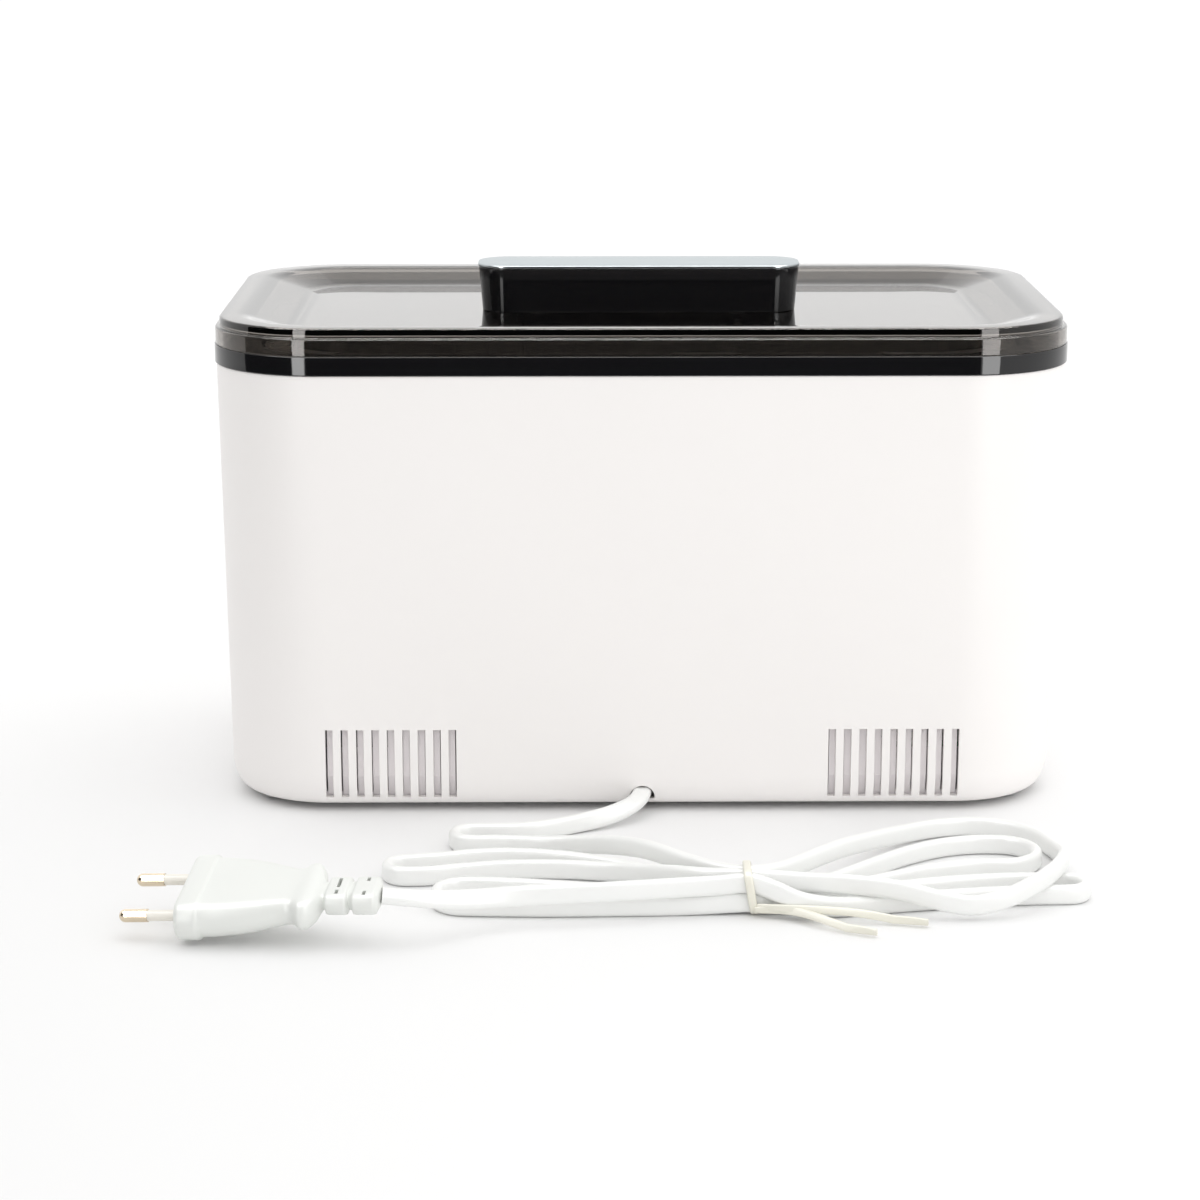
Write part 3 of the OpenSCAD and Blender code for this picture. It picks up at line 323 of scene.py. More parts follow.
button_silver = surface(
    "button_silver", (0.60, 0.61, 0.62), rough=0.28, shade=0.03, spread=0.05, patch=30, grain=600,
    depth=0.000004, stretch=(60, 3, 3), metallic=1.0,
)
foot_rubber = surface(
    "foot_rubber", (0.05, 0.05, 0.052), rough=0.75, shade=0.12, spread=0.08, patch=40, grain=1500,
    depth=0.00003,
)
pin_nickel = surface(
    "pin_nickel", (0.70, 0.60, 0.46), rough=0.2, shade=0.05, spread=0.05, patch=60, grain=900,
    depth=0.000004, metallic=1.0,
)
sleeve_plastic = surface(
    "sleeve_plastic", (0.84, 0.81, 0.74), rough=0.42, shade=0.03, spread=0.05, patch=50, grain=1500,
    depth=0.00001,
)

# Pieces inside the body: colour, roughness, metal, and the nodes that have the finish
HIDDEN_FINISHES = {
    "screw_steel": (
        (0.55, 0.55, 0.56), 0.3, 1.0,
        "base_screws clamp_screws power_board_screws transformer_screws "
        "control_board_screws cord_clamp_screws handle_screws earth_nut",
    ),
    "bracket_steel": ((0.60, 0.60, 0.60), 0.35, 1.0, "tank_clamps back_masses"),
    "seal_silicone": ((0.35, 0.35, 0.36), 0.6, 0.0, "tank_seal"),
    "heater_silicone": ((0.55, 0.12, 0.08), 0.6, 0.0, "heater_pad"),
    "sensor_body": ((0.03, 0.03, 0.03), 0.4, 0.0, "temperature_sensor"),
    "horn_aluminium": ((0.70, 0.70, 0.71), 0.35, 1.0, "transducer_horns heat_sink"),
    "piezo_ceramic": ((0.22, 0.20, 0.18), 0.5, 0.0, "piezo_rings"),
    "electrode_brass": ((0.75, 0.58, 0.30), 0.3, 1.0, "electrodes earth_tag"),
    "bolt_steel": ((0.20, 0.20, 0.21), 0.35, 1.0, "transducer_bolts"),
    "circuit_board": ((0.03, 0.16, 0.07), 0.4, 0.0, "power_board control_board"),
    "component_black": ((0.02, 0.02, 0.02), 0.4, 0.0, "power_transistors tact_switches cord_clamp"),
    "capacitor_sleeve": ((0.03, 0.04, 0.16), 0.35, 0.0, "capacitors"),
    "relay_case": ((0.05, 0.16, 0.42), 0.4, 0.0, "relay"),
    "connector_plastic": ((0.75, 0.74, 0.70), 0.45, 0.0, "terminal_blocks fuse_holder"),
    "ferrite_core": ((0.07, 0.07, 0.075), 0.6, 0.0, "transformer_core"),
    "coil_copper": ((0.65, 0.30, 0.12), 0.3, 1.0, "transformer_coil"),
    "lead_brown": ((0.22, 0.11, 0.06), 0.45, 0.0, "mains_leads"),
    "lead_red": ((0.55, 0.03, 0.03), 0.45, 0.0, "transducer_leads"),
    "lead_grey": ((0.45, 0.45, 0.46), 0.45, 0.0, "panel_harness"),
    "light_pipe": ((0.35, 0.55, 0.33), 0.2, 0.0, "indicator_lights"),
}
for finish_name, (color, rough, metal, members) in HIDDEN_FINISHES.items():
    finish = surface(
        finish_name, color, rough, shade=0.06, spread=0.06, patch=30, grain=900, metallic=metal,
    )
    for member in members.split():
        paint(NODES[member], finish)
SEEN_FINISHES = {
    "base_cover": base_plastic,
    "vent_baffle_left": baffle_plastic,
    "vent_baffle_right": baffle_plastic,
    "feet": foot_rubber,
    "display_module": display_glass,
    "cord_grommet": cord_vinyl,
    "plug_sleeves": sleeve_plastic,
    "plug_pins": pin_nickel,
    "basket": basket_plastic,
    "control_panel": panel_gloss,
}
for member, finish in SEEN_FINISHES.items():
    paint(NODES[member], finish)


# ---- Camera ----

FOCAL_LENGTH = 95
SENSOR_WIDTH = 36
CAMERA_AT = (0.0238, 1.1085, 0.319)
CAMERA_PITCH = 13.41
CAMERA_YAW = 0.53

lens = bpy.data.cameras.new("camera")
lens.lens = FOCAL_LENGTH
lens.sensor_width = SENSOR_WIDTH
camera = bpy.data.objects.new("camera", lens)
bpy.context.scene.collection.objects.link(camera)
camera.location = CAMERA_AT
camera_pitch = math.radians(CAMERA_PITCH)
camera_yaw = math.radians(CAMERA_YAW)
ahead = Vector((
    -math.sin(camera_yaw) * math.cos(camera_pitch),
    -math.cos(camera_yaw) * math.cos(camera_pitch),
    -math.sin(camera_pitch),
))
camera.rotation_euler = ahead.to_track_quat("-Z", "Y").to_euler()
bpy.context.scene.camera = camera


# ---- Cord, with its plug and tie ----

CORD_W = 6.4
CORD_T = 3.6
# Heights of the centre of the cord on its edge: on the floor, and on top of another run
LOW = 3.2
HIGH = 9.7
ON_EDGE = 90
ROUTE_STEP = 1.2
CURVE_STEPS = 12


def arc(cx, cy, r, a0, a1, z0, z1=None, count=9):
    """Route points around a fold, each (x, y, z, roll)."""
    z1 = z0 if z1 is None else z1
    out = []
    for i in range(count):
        s = i / (count - 1)
        a = math.radians(a0 + (a1 - a0) * s)
        out.append((cx + r * math.cos(a), cy + r * math.sin(a), z0 + (z1 - z0) * s, ON_EDGE))
    return out


def edge(*points):
    """Route points (x, y, z) where the cord stands on its edge."""
    return [(x, y, z, ON_EDGE) for x, y, z in points]


def spline(points, step):
    """Evenly spaced points on a centripetal Catmull-Rom curve, whatever their number of coordinates."""
    knots = [Vector(p) for p in points]
    knots = [2 * knots[0] - knots[1]] + knots + [2 * knots[-1] - knots[-2]]
    dense = []
    for i in range(1, len(knots) - 2):
        p0, p1, p2, p3 = knots[i - 1:i + 3]
        t0 = 0.0
        t1 = t0 + math.sqrt((p1 - p0).length)
        t2 = t1 + math.sqrt((p2 - p1).length)
        t3 = t2 + math.sqrt((p3 - p2).length)
        for k in range(CURVE_STEPS):
            t = t1 + (t2 - t1) * k / CURVE_STEPS
            a1 = p0 * ((t1 - t) / (t1 - t0)) + p1 * ((t - t0) / (t1 - t0))
            a2 = p1 * ((t2 - t) / (t2 - t1)) + p2 * ((t - t1) / (t2 - t1))
            a3 = p2 * ((t3 - t) / (t3 - t2)) + p3 * ((t - t2) / (t3 - t2))
            b1 = a1 * ((t2 - t) / (t2 - t0)) + a2 * ((t - t0) / (t2 - t0))
            b2 = a2 * ((t3 - t) / (t3 - t1)) + a3 * ((t - t1) / (t3 - t1))
            dense.append(b1 * ((t2 - t) / (t2 - t1)) + b2 * ((t - t1) / (t2 - t1)))
    dense.append(knots[-2])
    out, carried = [dense[0]], 0.0
    for a, b in zip(dense, dense[1:]):
        length = (Vector(b[:3]) - Vector(a[:3])).length
        while length > 0 and carried + length >= step:
            share = (step - carried) / length
            a = a + (b - a) * share
            length -= step - carried
            carried = 0.0
            out.append(a)
        carried += length
    if (Vector(out[-1][:3]) - Vector(dense[-1][:3])).length > step / 3:
        out.append(dense[-1])
    return out


def stadium(w, t, steps=6):
    """Section of a flat cord: two half circles joined by straight sides."""
    r = t / 2
    out = []
    for side, start in ((1, -90), (-1, 90)):
        for i in range(steps + 1):
            a = math.radians(start + 180 * i / steps)
            out.append((side * (w / 2 - r) + r * math.cos(a), r * math.sin(a)))
    return out


def ribbon(name, route, section):
    """A section swept along a route of (x, y, z, roll), where roll 0 lies flat and 90 stands on edge."""
    rings = []
    count = len(route)
    for i, p in enumerate(route):
        here = Vector(p[:3])
        after = route[min(i + 1, count - 1)]
        before = route[max(i - 1, 0)]
        along = (Vector(after[:3]) - Vector(before[:3])).normalized()
        side = along.cross(Vector((0, 0, 1))).normalized()
        up = side.cross(along)
        roll = math.radians(p[3])
        wide = side * math.cos(roll) + up * math.sin(roll)
        thin = up * math.cos(roll) - side * math.sin(roll)
        rings.append([here + wide * u + thin * v for u, v in section])
    return loft(name, rings, crease=SOFT_CREASE)


TIE_X = -31
lead = [
    (0, 58, 7.2, 0), (0, 70, 7.1, 0), (0, 78, 7, 0), (0.6, 84, 6.8, 4), (2.6, 89, 6.0, 14),
    (7, 94, 4.9, 34), (13.5, 98.6, 3.8, 60), (21, 103, 3.3, 82),
] + edge((28, 107.3, LOW), (36, 111.2, LOW), (44, 113, LOW), (50, 113.1, LOW))
first_loop = arc(56, 119.4, 6.3, -90, 90, LOW) + edge(
    (48, 125.8, LOW), (34, 127.6, 3.4), (21, 133.5, 5.5), (10, 142, 8), (0, 151.5, 9.5),
    (-12, 165.5, HIGH), (-23, 175, HIGH), (TIE_X, 178.6, 10), (-39, 175.5, HIGH), (-46, 168.5, 9.6),
    (-54, 158, 9.2), (-62, 146, 8), (-72, 132, 5.8), (-84, 118.8, 4), (-96, 110.4, 3.3),
    (-108, 107.6, LOW), (-119, 111, LOW), (-127.5, 120, LOW), (-131.8, 134, 3.6), (-132.6, 147, 5.6),
    (-131.2, 158, 8.6), (-128.6, 168, HIGH), (-124, 177.5, HIGH), (-117, 185.5, 8.4), (-108, 190.4, 6),
    (-98, 192.3, 4.6), (-88, 191.8, 6.2), (-76, 189.8, 8.7), (-62, 187.3, HIGH), (-46, 184.4, HIGH),
    (TIE_X, 182.6, 10.2), (-18, 180, HIGH), (-8, 173.6, 8.4), (2, 163.6, 5.6), (12, 156, 3.8),
    (26, 152, LOW), (45, 152, LOW), (60, 155.4, LOW), (69, 158, LOW),
)
second_loop = arc(76, 152.2, 6.3, 90, -90, LOW) + edge(
    (66, 143.6, LOW), (54, 140.4, LOW), (42, 139.6, LOW), (28, 142.2, LOW), (14, 148, LOW),
    (2, 156, LOW), (-10, 165.8, LOW), (-21, 174.6, LOW), (TIE_X, 178.9, 3.9), (-41, 177.4, LOW),
    (-50, 172, LOW), (-60, 163, LOW), (-72, 150.4, LOW), (-84, 138.8, LOW), (-97, 130.2, LOW),
    (-106, 127.6, LOW),
) + arc(-113, 139.6, 12.2, -90, -270, LOW) + edge(
    (-102, 152.8, LOW), (-91, 156.2, LOW), (-78, 163.4, LOW), (-64, 172.2, LOW), (-51, 179, LOW),
    (-41, 181.9, 3.3), (TIE_X, 182.7, 3.9), (-20, 182, 3.3), (-8, 180, LOW), (6, 177.2, LOW),
    (20, 174.2, LOW), (35, 171.2, LOW), (48, 169.2, LOW),
)
third_loop = arc(56.5, 178, 9.3, -90, 90, LOW) + edge(
    (46, 187.9, LOW), (30, 188.4, LOW), (10, 188, LOW), (-10, 187.3, LOW), (TIE_X, 186.5, 3.9),
    (-42, 185.8, LOW), (-53, 182.6, LOW), (-66, 177.8, LOW), (-80, 173, LOW), (-95, 168.9, LOW),
    (-110, 166.6, LOW), (-121, 166, LOW),
) + arc(-130, 172, 6, -90, -270, LOW) + edge(
    (-120, 178.4, LOW), (-108, 179.6, LOW), (-94, 181.8, LOW), (-80, 184.4, LOW), (-66, 187.6, LOW),
    (-55, 190, 3.6), (-45, 190.9, 5.8), (-38, 189.6, 8.6), (TIE_X, 187.2, 10.2), (-20, 187.8, HIGH),
    (-8, 189.8, HIGH), (10, 193, HIGH),
)
tail = [
    (26, 195, 9.6, 84), (38, 196.5, 9.6, 74), (48, 199.5, 9.9, 60), (57, 204, 11, 44),
    (66, 208.5, 12.6, 28), (74, 211, 14, 18), (80.4, 211.5, 14.8, 16),
]
cord_route = spline(lead + first_loop + second_loop + third_loop + tail, ROUTE_STEP)
cord = ribbon("mains_cord_line", cord_route, stadium(CORD_W, CORD_T))
paint(cord, cord_vinyl)
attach(cord, "base")
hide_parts("mains_cord", "cord_hank", "cord_tail")

PLUG_AT = (139.4, 200, 10.6)
PLUG_HEADING = -11
PLUG_DIP = 4
PLUG_ROLL = -16
# Local X runs out along the pins
plug_place = (
    Matrix.Translation(Vector(PLUG_AT) * MM)
    @ Matrix.Rotation(math.radians(PLUG_HEADING), 4, "Z")
    @ Matrix.Rotation(math.radians(PLUG_DIP), 4, "Y")
    @ Matrix.Rotation(math.radians(PLUG_ROLL), 4, "X")
)


def plug_ring(x, w, h, r):
    """Section of the moulding at x."""
    return [(x, y, z) for y, z in outline(w, h, r, 8)]


# Stations along the moulding: x, width, height, corner radius
PLUG_BODY = [
    (0, 32.4, 10.4, 4.9), (-0.25, 33.8, 11.8, 5.6), (-0.9, 34.7, 12.7, 6.1), (-1.8, 35, 13, 6.3),
    (-6.2, 35, 13, 6.3), (-6.9, 34.6, 12.7, 6.1), (-7.3, 33.4, 12.1, 5.9), (-7.8, 32.9, 11.9, 5.8),
    (-12, 32.4, 11.8, 5.7), (-18, 30.8, 11.4, 5.5), (-24, 28, 10.6, 5.1), (-29, 24.6, 9.8, 4.7),
    (-32.5, 22.4, 9.2, 4.4), (-34.4, 22.2, 9, 4.3), (-35.6, 23.6, 9.2, 4.4), (-36.6, 26, 9.6, 4.6),
    (-37.6, 27.4, 9.8, 4.7), (-38.8, 27.2, 9.7, 4.6), (-40, 25, 9.2, 4.4), (-41.2, 20.6, 8.4, 4),
    (-42, 15, 7, 3.3), (-42.6, 11, 5.6, 2.7), (-43.4, 10, 5.2, 2.5),
]
BOOT_SEGMENTS = ((-43.9, -50.6), (-52.2, -59.4))
# Stations at either end of a segment: distance from the end, width, height, corner radius
BOOT_EDGE = ((0, 11.4, 6, 2.9), (0.3, 13.6, 7, 3.2), (0.9, 14, 7.2, 3.3))
BOOT_NECK_GAP = 0.3
BOOT_NECK = (10.2, 5.4, 2.6)
BOOT_END = (-60, 8.2, 4.8, 2.3)
# Slots through the boot: where each starts and ends in x, then in y
BOOT_SLOTS = (
    (-48.0, -46.9, -4.2, 0.6), (-48.0, -46.9, 1.9, 4.0),
    (-56.6, -55.5, 2.6, 4.6), (-56.6, -55.5, -4.6, -2.6),
)
SLOT_REACH = 5
PLUG_CREASE = 60


def boot_stations():
    """Stations of the ribbed strain relief, from the plug to the cord."""
    out = []
    for x0, x1 in BOOT_SEGMENTS:
        out += [(x0 - inward, *size) for inward, *size in BOOT_EDGE]
        out += [(x1 + inward, *size) for inward, *size in reversed(BOOT_EDGE)]
        out.append((x1 - BOOT_NECK_GAP, *BOOT_NECK))
    return out + [BOOT_END]


plug = loft("plug_moulding", [plug_ring(*station) for station in PLUG_BODY + boot_stations()],
            crease=PLUG_CREASE)
plug.data.transform(plug_place)
slots = many_boxes("slots", [(*slot, -SLOT_REACH, SLOT_REACH) for slot in BOOT_SLOTS])
slots.data.transform(plug_place)
cut(plug, [slots], crease=PLUG_CREASE)
paint(plug, plug_vinyl)
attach(plug, "base")
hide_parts("plug_body")

TIE_W = 2.6
TIE_T = 1.1
TIE_Y = 182.7
TIE_HALF_W = 7.4
TIE_HALF_H = 6.95
TIE_SQUARE_Y = 0.55
TIE_SQUARE_Z = 0.6
TIE_BACK = 1.2
TIE_LEAN = 0.17
TIE_SKEW = 0.02
TIE_LOOP_POINTS = 48
TIE_END_POINTS = 30
TIE_END_WAVES = 1.6
TIE_END_ROLL = 60
TIE_END_TWIST = 260
TIE_END_FALL = 1.5


def squared(wave, power):
    """A sine or cosine pushed towards 1 and -1, as a superellipse has it."""
    return math.copysign(abs(wave) ** power, wave)


def tie_point(a):
    """Point of the tie's loop around the bundle, leaning along X."""
    y = TIE_Y + TIE_HALF_W * squared(math.cos(a), TIE_SQUARE_Y)
    z = TIE_HALF_H + TIE_HALF_H * squared(math.sin(a), TIE_SQUARE_Z)
    return (TIE_X - TIE_BACK + TIE_LEAN * z + TIE_SKEW * (y - TIE_Y), y, z + TIE_T / 2)


tie_loop = [tie_point(2 * math.pi * i / TIE_LOOP_POINTS) for i in range(TIE_LOOP_POINTS)]


def closed_band(name, route, w, t):
    """A flat band round a closed route, with its wide side along X."""
    rings = []
    for i, point in enumerate(route):
        here = Vector(point)
        along = (Vector(route[(i + 1) % len(route)]) - Vector(route[i - 1])).normalized()
        wide = Vector((1, 0, 0)) - along * along.x
        wide.normalize()
        thin = along.cross(wide)
        rings.append([here + wide * u + thin * v for u, v in stadium(w, t, 4)])
    return loft(name, rings, loop=True, crease=SOFT_CREASE)


def twist_end(name, start, heading, length, wave, lift):
    """A loose end of the tie: a flat band with a wire in it that waves as it runs out to the floor."""
    turn = math.radians(heading)
    route = []
    for i in range(TIE_END_POINTS):
        s = i / (TIE_END_POINTS - 1)
        off = wave * math.sin(s * math.pi * TIE_END_WAVES) * (1 - s)
        x = start[0] + length * s * math.cos(turn) - off * math.sin(turn)
        y = start[1] + length * s * math.sin(turn) + off * math.cos(turn)
        roll = TIE_END_ROLL + TIE_END_TWIST * s * (1 - s)
        reach = TIE_W / 2 * abs(math.sin(math.radians(roll))) + TIE_T / 2
        z = max(reach, start[2] * (1 - s) ** TIE_END_FALL + lift * math.sin(math.pi * s))
        route.append((x, y, z, roll))
    return ribbon(name, route, stadium(TIE_W, TIE_T, 5))


tie = joined("cord_tie_band", [
    closed_band("tie_loop", tie_loop, TIE_W, TIE_T),
    twist_end("tie_end_near", (-32, 190.2, 2.6), heading=153, length=40, wave=3.2, lift=2.2),
    twist_end("tie_end_far", (-33, 189.6, 3.4), heading=169, length=52, wave=-2.4, lift=2.6),
], crease=SOFT_CREASE)
paint(tie, tie_vinyl)
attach(tie, "base")
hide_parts("cord_tie")


# ---- Shell and trim ----

BODY_W = 288
BODY_D = 169
BODY_R = 38
FOOT_H = 2.5
ROUND_H = 10
ROUND_IN = 5
SHELL_TOP = 150
LEAN = 2.3
WALL = 2.6
SHELL_INSET = 0.5


def shell_level(z, inward, cut_back=0.0):
    """The shell's outline at a height: it leans in to the foot and turns under there."""
    lean = LEAN * (SHELL_TOP - z) / (SHELL_TOP - FOOT_H)
    below = max(0.0, FOOT_H + ROUND_H - z) / ROUND_H
    inset = SHELL_INSET + lean + ROUND_IN * (1 - math.sqrt(max(0.0, 1 - below * below))) + inward
    return (BODY_W - 2 * inset, BODY_D - 2 * inset, BODY_R - inset, z, cut_back)


quarter = [math.radians(90 * i / QUARTER_STEPS) for i in range(QUARTER_STEPS + 1)]
lower_edge = [FOOT_H + ROUND_H * (1 - math.cos(a)) for a in quarter]
outer_levels = [shell_level(z, 0) for z in lower_edge] + [shell_level(SHELL_TOP, 0, 0.4)]
inner_levels = [shell_level(z, WALL) for z in reversed(lower_edge + [SHELL_TOP])]
housing = shell_of("housing", outer_levels + inner_levels, loop=True)

VENT_X = 84.8
VENT_PITCH = 5.2
VENT_COUNT = 9
VENT_W = 2.55
VENT_FOOT = 5.4
VENT_TOP = 29.4
# Depths between which the rear wall is cut through
REAR_CUT = (66, 90)
FRONT_CUT = (78, 90)
vents = many_boxes("vents", [
    (x - VENT_W / 2, x + VENT_W / 2, *REAR_CUT, VENT_FOOT, VENT_TOP)
    for side in (-1, 1)
    for x in [side * VENT_X + VENT_PITCH * (i - VENT_COUNT // 2) for i in range(VENT_COUNT)]
])
HOLE_W = 8.5
HOLE_Z = 5.25
HOLE_FOOT = 4.5
hole_arch = [
    (HOLE_W / 2 * math.cos(math.radians(a)), HOLE_Z + HOLE_W / 2 * math.sin(math.radians(a)))
    for a in range(0, 181, 9)
] + [(-HOLE_W / 2, HOLE_FOOT), (HOLE_W / 2, HOLE_FOOT)]
cord_hole = loft("cord_hole", [[(x, y, z) for x, z in hole_arch] for y in REAR_CUT])
PANEL_W = 134
PANEL_H = 58
PANEL_R = 8
PANEL_Z = 98
PANEL_GAP = 0.3
EDGE_BEVEL = 0.22
panel_hole = shell_of("panel_hole", [
    (PANEL_W + PANEL_GAP, PANEL_H + PANEL_GAP, PANEL_R, z, 0) for z in FRONT_CUT
])
face_front(panel_hole, 0, PANEL_Z)
cut(housing, [vents, cord_hole, panel_hole], bevel=EDGE_BEVEL)
flat_faces_first(housing)
paint(housing, white_shell)
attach(housing, "base")
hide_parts("housing_shell")

# Outlines of the trim ring: width, depth, corner radius
TRIM_OUTER = (BODY_W, BODY_D, BODY_R)
TRIM_RECESS = (258, 154, 36)
TRIM_MOUTH = (242, 138, 28)
SPIGOT_INNER = (276, 157, 32)
SPIGOT_OUTER = (281.2, 162.2, 34.6)
TRIM_TOP = 156.3
RECESS_Z = 154.3
SHELF_Z = 152.3
SPIGOT_FOOT = 146
trim = shell_of("trim_band", [
    (*TRIM_OUTER, SHELL_TOP, 0.35), (*TRIM_OUTER, TRIM_TOP, 0.3),
    (*TRIM_RECESS, TRIM_TOP, 0.3), (*TRIM_RECESS, RECESS_Z, 0),
    (*TRIM_MOUTH, RECESS_Z, 0.2), (*TRIM_MOUTH, SHELF_Z, 0),
    (*SPIGOT_INNER, SHELF_Z, 0), (*SPIGOT_INNER, SPIGOT_FOOT, 0.3),
    (*SPIGOT_OUTER, SPIGOT_FOOT, 0.3), (*SPIGOT_OUTER, SHELL_TOP, 0),
], loop=True)
paint(trim, black_trim)
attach(trim, "base")
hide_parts("trim_ring")

# ---- Tank ----

TANK_W = 238
TANK_D = 134
TANK_R = 26
TANK_FLOOR = 65
TANK_T = 0.8
TANK_MIDDLE = 100
FLANGE_FOOT = 155.1
FLANGE_TOP = 155.9
FLANGE_W = 8
FLOOR_ROUND = 10
FLOOR_INSET = 12


def tank_level(grow, inset, z, cut_back=0.0):
    """The tank's outline at a height, grown and then set in."""
    width = TANK_W + 2 * grow - 2 * inset
    depth = TANK_D + 2 * grow - 2 * inset
    return (width, depth, TANK_R + grow - inset, z, cut_back)


# How far in and how high the tank's wall is as it turns into the floor
curve = [(FLOOR_INSET - FLOOR_ROUND * math.sin(a), FLOOR_ROUND * (1 - math.cos(a))) for a in quarter]
tank = shell_of("tank_bowl", [
    *[tank_level(TANK_T, inset, TANK_FLOOR - TANK_T + z) for inset, z in curve],
    tank_level(TANK_T, 0, TANK_MIDDLE),
    tank_level(TANK_T, 0, FLANGE_FOOT, 1.2),
    tank_level(TANK_T + FLANGE_W, 0, FLANGE_FOOT),
    tank_level(TANK_T + FLANGE_W, 0, FLANGE_TOP),
    tank_level(0, 0, FLANGE_TOP, 2.2),
    tank_level(0, 0, TANK_MIDDLE),
    *[tank_level(0, inset, TANK_FLOOR + z) for inset, z in reversed(curve)],
])
paint(tank, tank_steel)
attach(tank, "base")
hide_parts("tank")

# ---- Lid and handle ----

# Outlines of the lid: width, depth, corner radius
SKIRT_OUTER = (287.4, 168.4, 37.7)
SKIRT_INNER = (281.4, 162.4, 35.2)
LID_LEDGE = (284.4, 165.4, 36.2)
LID_CROWN = (268.4, 149.4, 30)
DISH_EDGE = (236.4, 117.4, 16)
GUIDE_OUTER = (234, 130, 24)
GUIDE_INNER = (230, 126, 22)
LEDGE_Z = 162.2
CROWN_Z = 165.5
CROWN_UNDER = 163
DISH_Z = 160.5
DISH_UNDER = 158
GUIDE_FOOT = 152
GUIDE_TOP = 158.5
lid = shell_of("lid_sheet", [
    (200, 80, 12, DISH_UNDER, 0), (236.4, 117.4, 15.5, DISH_UNDER, 1.5),
    (262, 143, 28, CROWN_UNDER, 1.2), (281.4, 162.4, 36, CROWN_UNDER, 1),
    (*SKIRT_INNER, TRIM_TOP, 0), (*SKIRT_OUTER, TRIM_TOP, 0.35),
    (*SKIRT_OUTER, LEDGE_Z, 0.75), (*LID_LEDGE, LEDGE_Z, 0.4),
    (*LID_LEDGE, CROWN_Z, 0.9), (*LID_CROWN, CROWN_Z, 2.2),
    (*DISH_EDGE, DISH_Z, 2.6), (200, 81, 12, DISH_Z, 0),
], steps=6)
guide = shell_of("lid_guide", [
    (*GUIDE_OUTER, GUIDE_FOOT, 0.3), (*GUIDE_INNER, GUIDE_FOOT, 0.3),
    (*GUIDE_INNER, GUIDE_TOP, 0), (*GUIDE_OUTER, GUIDE_TOP, 0),
], loop=True)
paint(lid, smoked_lid)
paint(guide, smoked_lid)
for piece in (lid, guide):
    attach(piece, "lid")
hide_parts("lid_shell")

HANDLE_FOOT = (109.4, 24.4, 9.2)
HANDLE_HEAD = (112, 27, 10.5)
PLATE = (112.4, 27.4, 10.7)
HANDLE_TOP = 175.9
PLATE_UNDER = 176
PLATE_TOP = 177
handle = shell_of("handle_bar", [
    (100, 15, 5, DISH_Z, 0), (*HANDLE_FOOT, DISH_Z, 0.5), (*HANDLE_HEAD, HANDLE_TOP, 0.3),
    (100, 16, 6, HANDLE_TOP, 0),
])
paint(handle, black_trim)
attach(handle, "lid")
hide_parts("lid_handle")
cap = shell_of("handle_plate", [
    (100, 15, 6, PLATE_UNDER, 0), (*PLATE, PLATE_UNDER, 0.25), (*PLATE, PLATE_TOP, 0.3),
    (100, 15, 6, PLATE_TOP, 0),
])
paint(cap, handle_silver)
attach(cap, "lid")
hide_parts("handle_cap")

# ---- Front panel ----

WINDOW = (55.8, 23.8, 2.9)
WINDOW_Z = 108
WINDOW_BACK = 81
WINDOW_FACE = 82.9
BUTTON = (20, 9, 3)
BUTTON_FLANGE = (22, 11, 3.8)
BUTTON_Z = 82
BUTTON_PITCH = 30
BUTTON_BACK = 77
BUTTON_STEP = 78.2
BUTTON_FACE = 84.2
BUTTON_DISH = 84.0
window = face_front(shell_of("display_pane", [
    (40, 10, 1, WINDOW_BACK, 0), (*WINDOW, WINDOW_BACK, 0.1), (*WINDOW, WINDOW_FACE, 0.4),
    (40, 10, 1, WINDOW_FACE, 0),
]), 0, WINDOW_Z)
paint(window, display_glass)
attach(window, "base")
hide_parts("display_window")
for i, name in enumerate(("time", "heat", "start", "stop")):
    button = face_front(shell_of(name + "_key", [
        (10, 4, 1, BUTTON_BACK, 0),
        (*BUTTON_FLANGE, BUTTON_BACK, 0.2), (*BUTTON_FLANGE, BUTTON_STEP, 0.2),
        (*BUTTON, BUTTON_STEP, 0.1), (*BUTTON, BUTTON_FACE, 0.7),
        (10, 3, 1, BUTTON_DISH, 0),
    ]), BUTTON_PITCH * (i - 1.5), BUTTON_Z)
    paint(button, button_silver)
    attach(button, name + "_key")
    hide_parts(name + "_button")


# ---- Studio ----

def emitter(name, at, toward, size, radiance, seen=("glossy",)):
    """A rectangular light of a given radiance, shown only to the named kinds of ray."""
    lamp = bpy.data.lights.new(name, "AREA")
    lamp.shape = "RECTANGLE"
    lamp.size, lamp.size_y = size
    lamp.energy = radiance * math.pi * size[0] * size[1]
    obj = bpy.data.objects.new(name, lamp)
    bpy.context.scene.collection.objects.link(obj)
    obj.location = at
    obj.rotation_euler = (Vector(toward) - Vector(at)).to_track_quat("-Z", "Y").to_euler()
    obj.visible_camera = False
    obj.visible_diffuse = "diffuse" in seen
    obj.visible_glossy = "glossy" in seen
    obj.visible_transmission = False


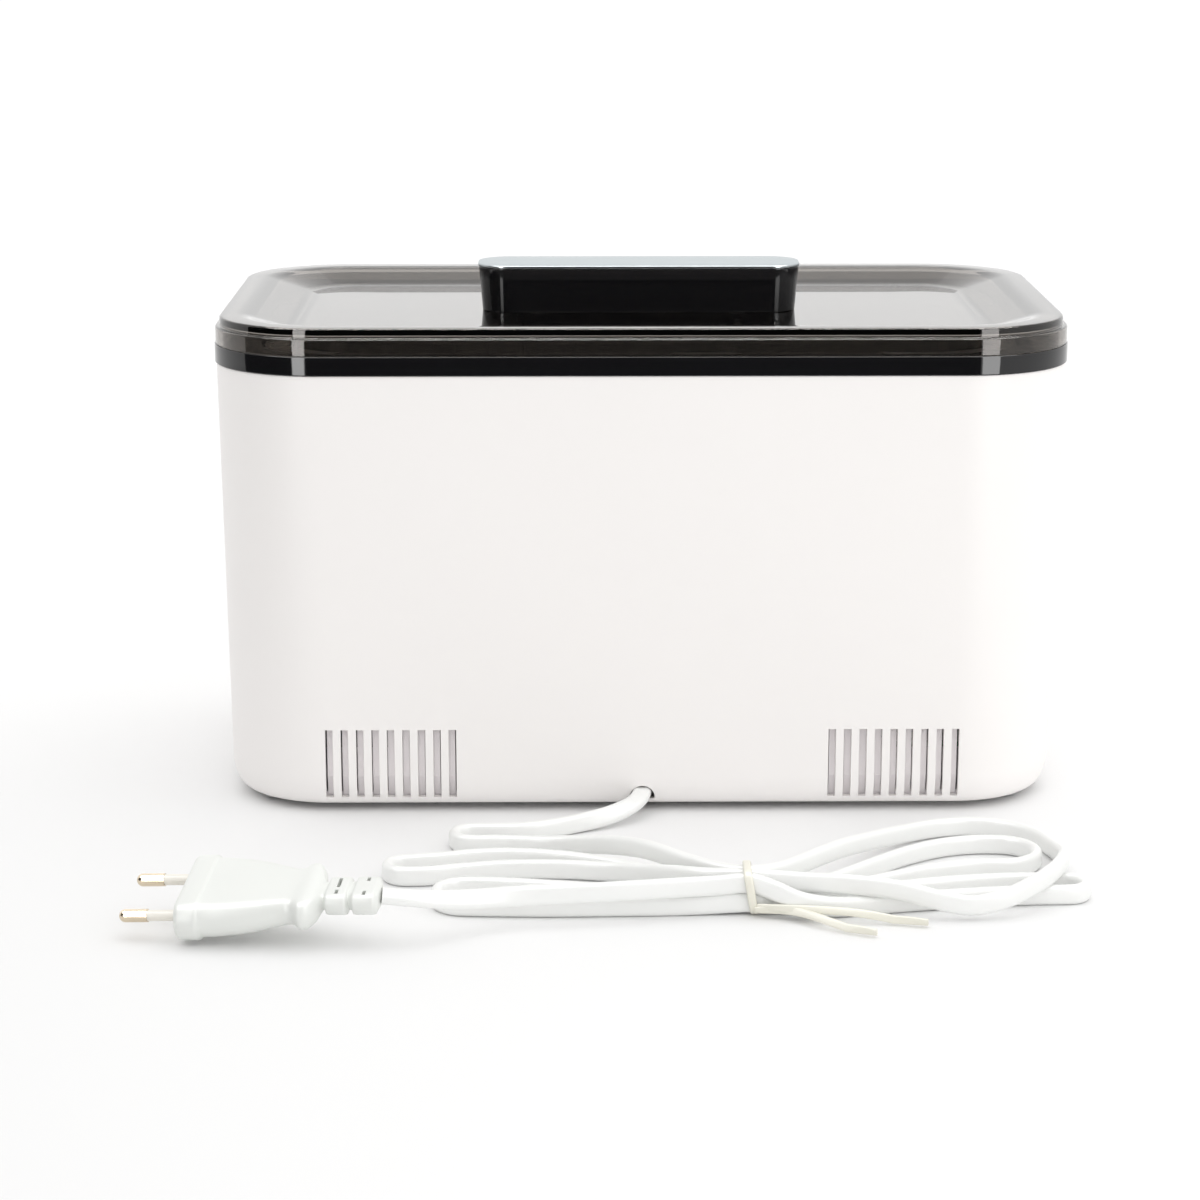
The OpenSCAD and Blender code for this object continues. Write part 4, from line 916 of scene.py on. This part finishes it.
def flag(name, corners, grey, seen="glossy"):
    """A dark card that only one kind of ray sees."""
    card = mesh_object(name, corners, [tuple(range(len(corners)))])
    finish = bpy.data.materials.new(name)
    finish.use_nodes = True
    shader = finish.node_tree.nodes["Principled BSDF"]
    shader.inputs["Base Color"].default_value = (0, 0, 0, 1)
    shader.inputs["Roughness"].default_value = 1
    shader.inputs["Specular IOR Level"].default_value = 0
    shader.inputs["Emission Color"].default_value = (1, 1, 1, 1)
    shader.inputs["Emission Strength"].default_value = grey
    card.data.materials.append(finish)
    card.visible_camera = False
    card.visible_diffuse = seen == "diffuse"
    card.visible_glossy = seen == "glossy"
    card.visible_shadow = False
    card.visible_transmission = False


FLOOR_REACH = 30000
SKY_STRENGTH = 1.19
floor = mesh_object("floor", [
    (-FLOOR_REACH, -FLOOR_REACH, 0), (FLOOR_REACH, -FLOOR_REACH, 0),
    (FLOOR_REACH, FLOOR_REACH, 0), (-FLOOR_REACH, FLOOR_REACH, 0),
], [(0, 1, 2, 3)])
paint(floor, surface(
    "studio_floor", (0.87, 0.87, 0.87), rough=0.8, shade=0.004, spread=0.05, patch=3, grain=400,
    depth=0.000005, Specular_IOR_Level=0.0,
))

sky = bpy.data.worlds.new("studio")
bpy.context.scene.world = sky
sky.use_nodes = True
sky.node_tree.nodes["Background"].inputs["Color"].default_value = (1.0, 0.998, 0.995, 1)
sky.node_tree.nodes["Background"].inputs["Strength"].default_value = SKY_STRENGTH
bpy.context.scene.view_settings.view_transform = "Standard"

emitter("top_softbox", at=(-0.1, -0.35, 1.7), toward=(0, 0, 0), size=(1.6, 1.2), radiance=0.5,
        seen=("diffuse", "glossy"))
emitter("edge_light", at=(0.0, 0.36, 1.2), toward=(0, 0.08, 0.16), size=(2.4, 0.55), radiance=12.0)
emitter("rear_glow", at=(0.0, -1.6, 0.55), toward=(0, 0, 0.3), size=(3.4, 1.3), radiance=0.2)
emitter("strip_left", at=(0.318, 0.5, 0.22), toward=(0.12, 0.085, 0.16), size=(0.11, 0.46),
        radiance=7.0)
emitter("strip_right", at=(-0.37, 0.5, 0.22), toward=(-0.12, 0.085, 0.16), size=(0.17, 0.46),
        radiance=6.0)
# Dark cards that the gloss of the lid and trim mirrors, and one that shades the shell's left corner
flag("flag_middle", [(-270, 505, 0), (255, 505, 0), (255, 505, 420), (-270, 505, 420)], grey=0.03)
flag("flag_left", [(385, 500, 0), (760, 90, 0), (760, 90, 420), (385, 500, 420)], grey=0.03)
flag("shade_left", [(920, 100, 40), (470, 790, 40), (470, 790, 570), (920, 100, 570)], grey=0.0,
     seen="diffuse")
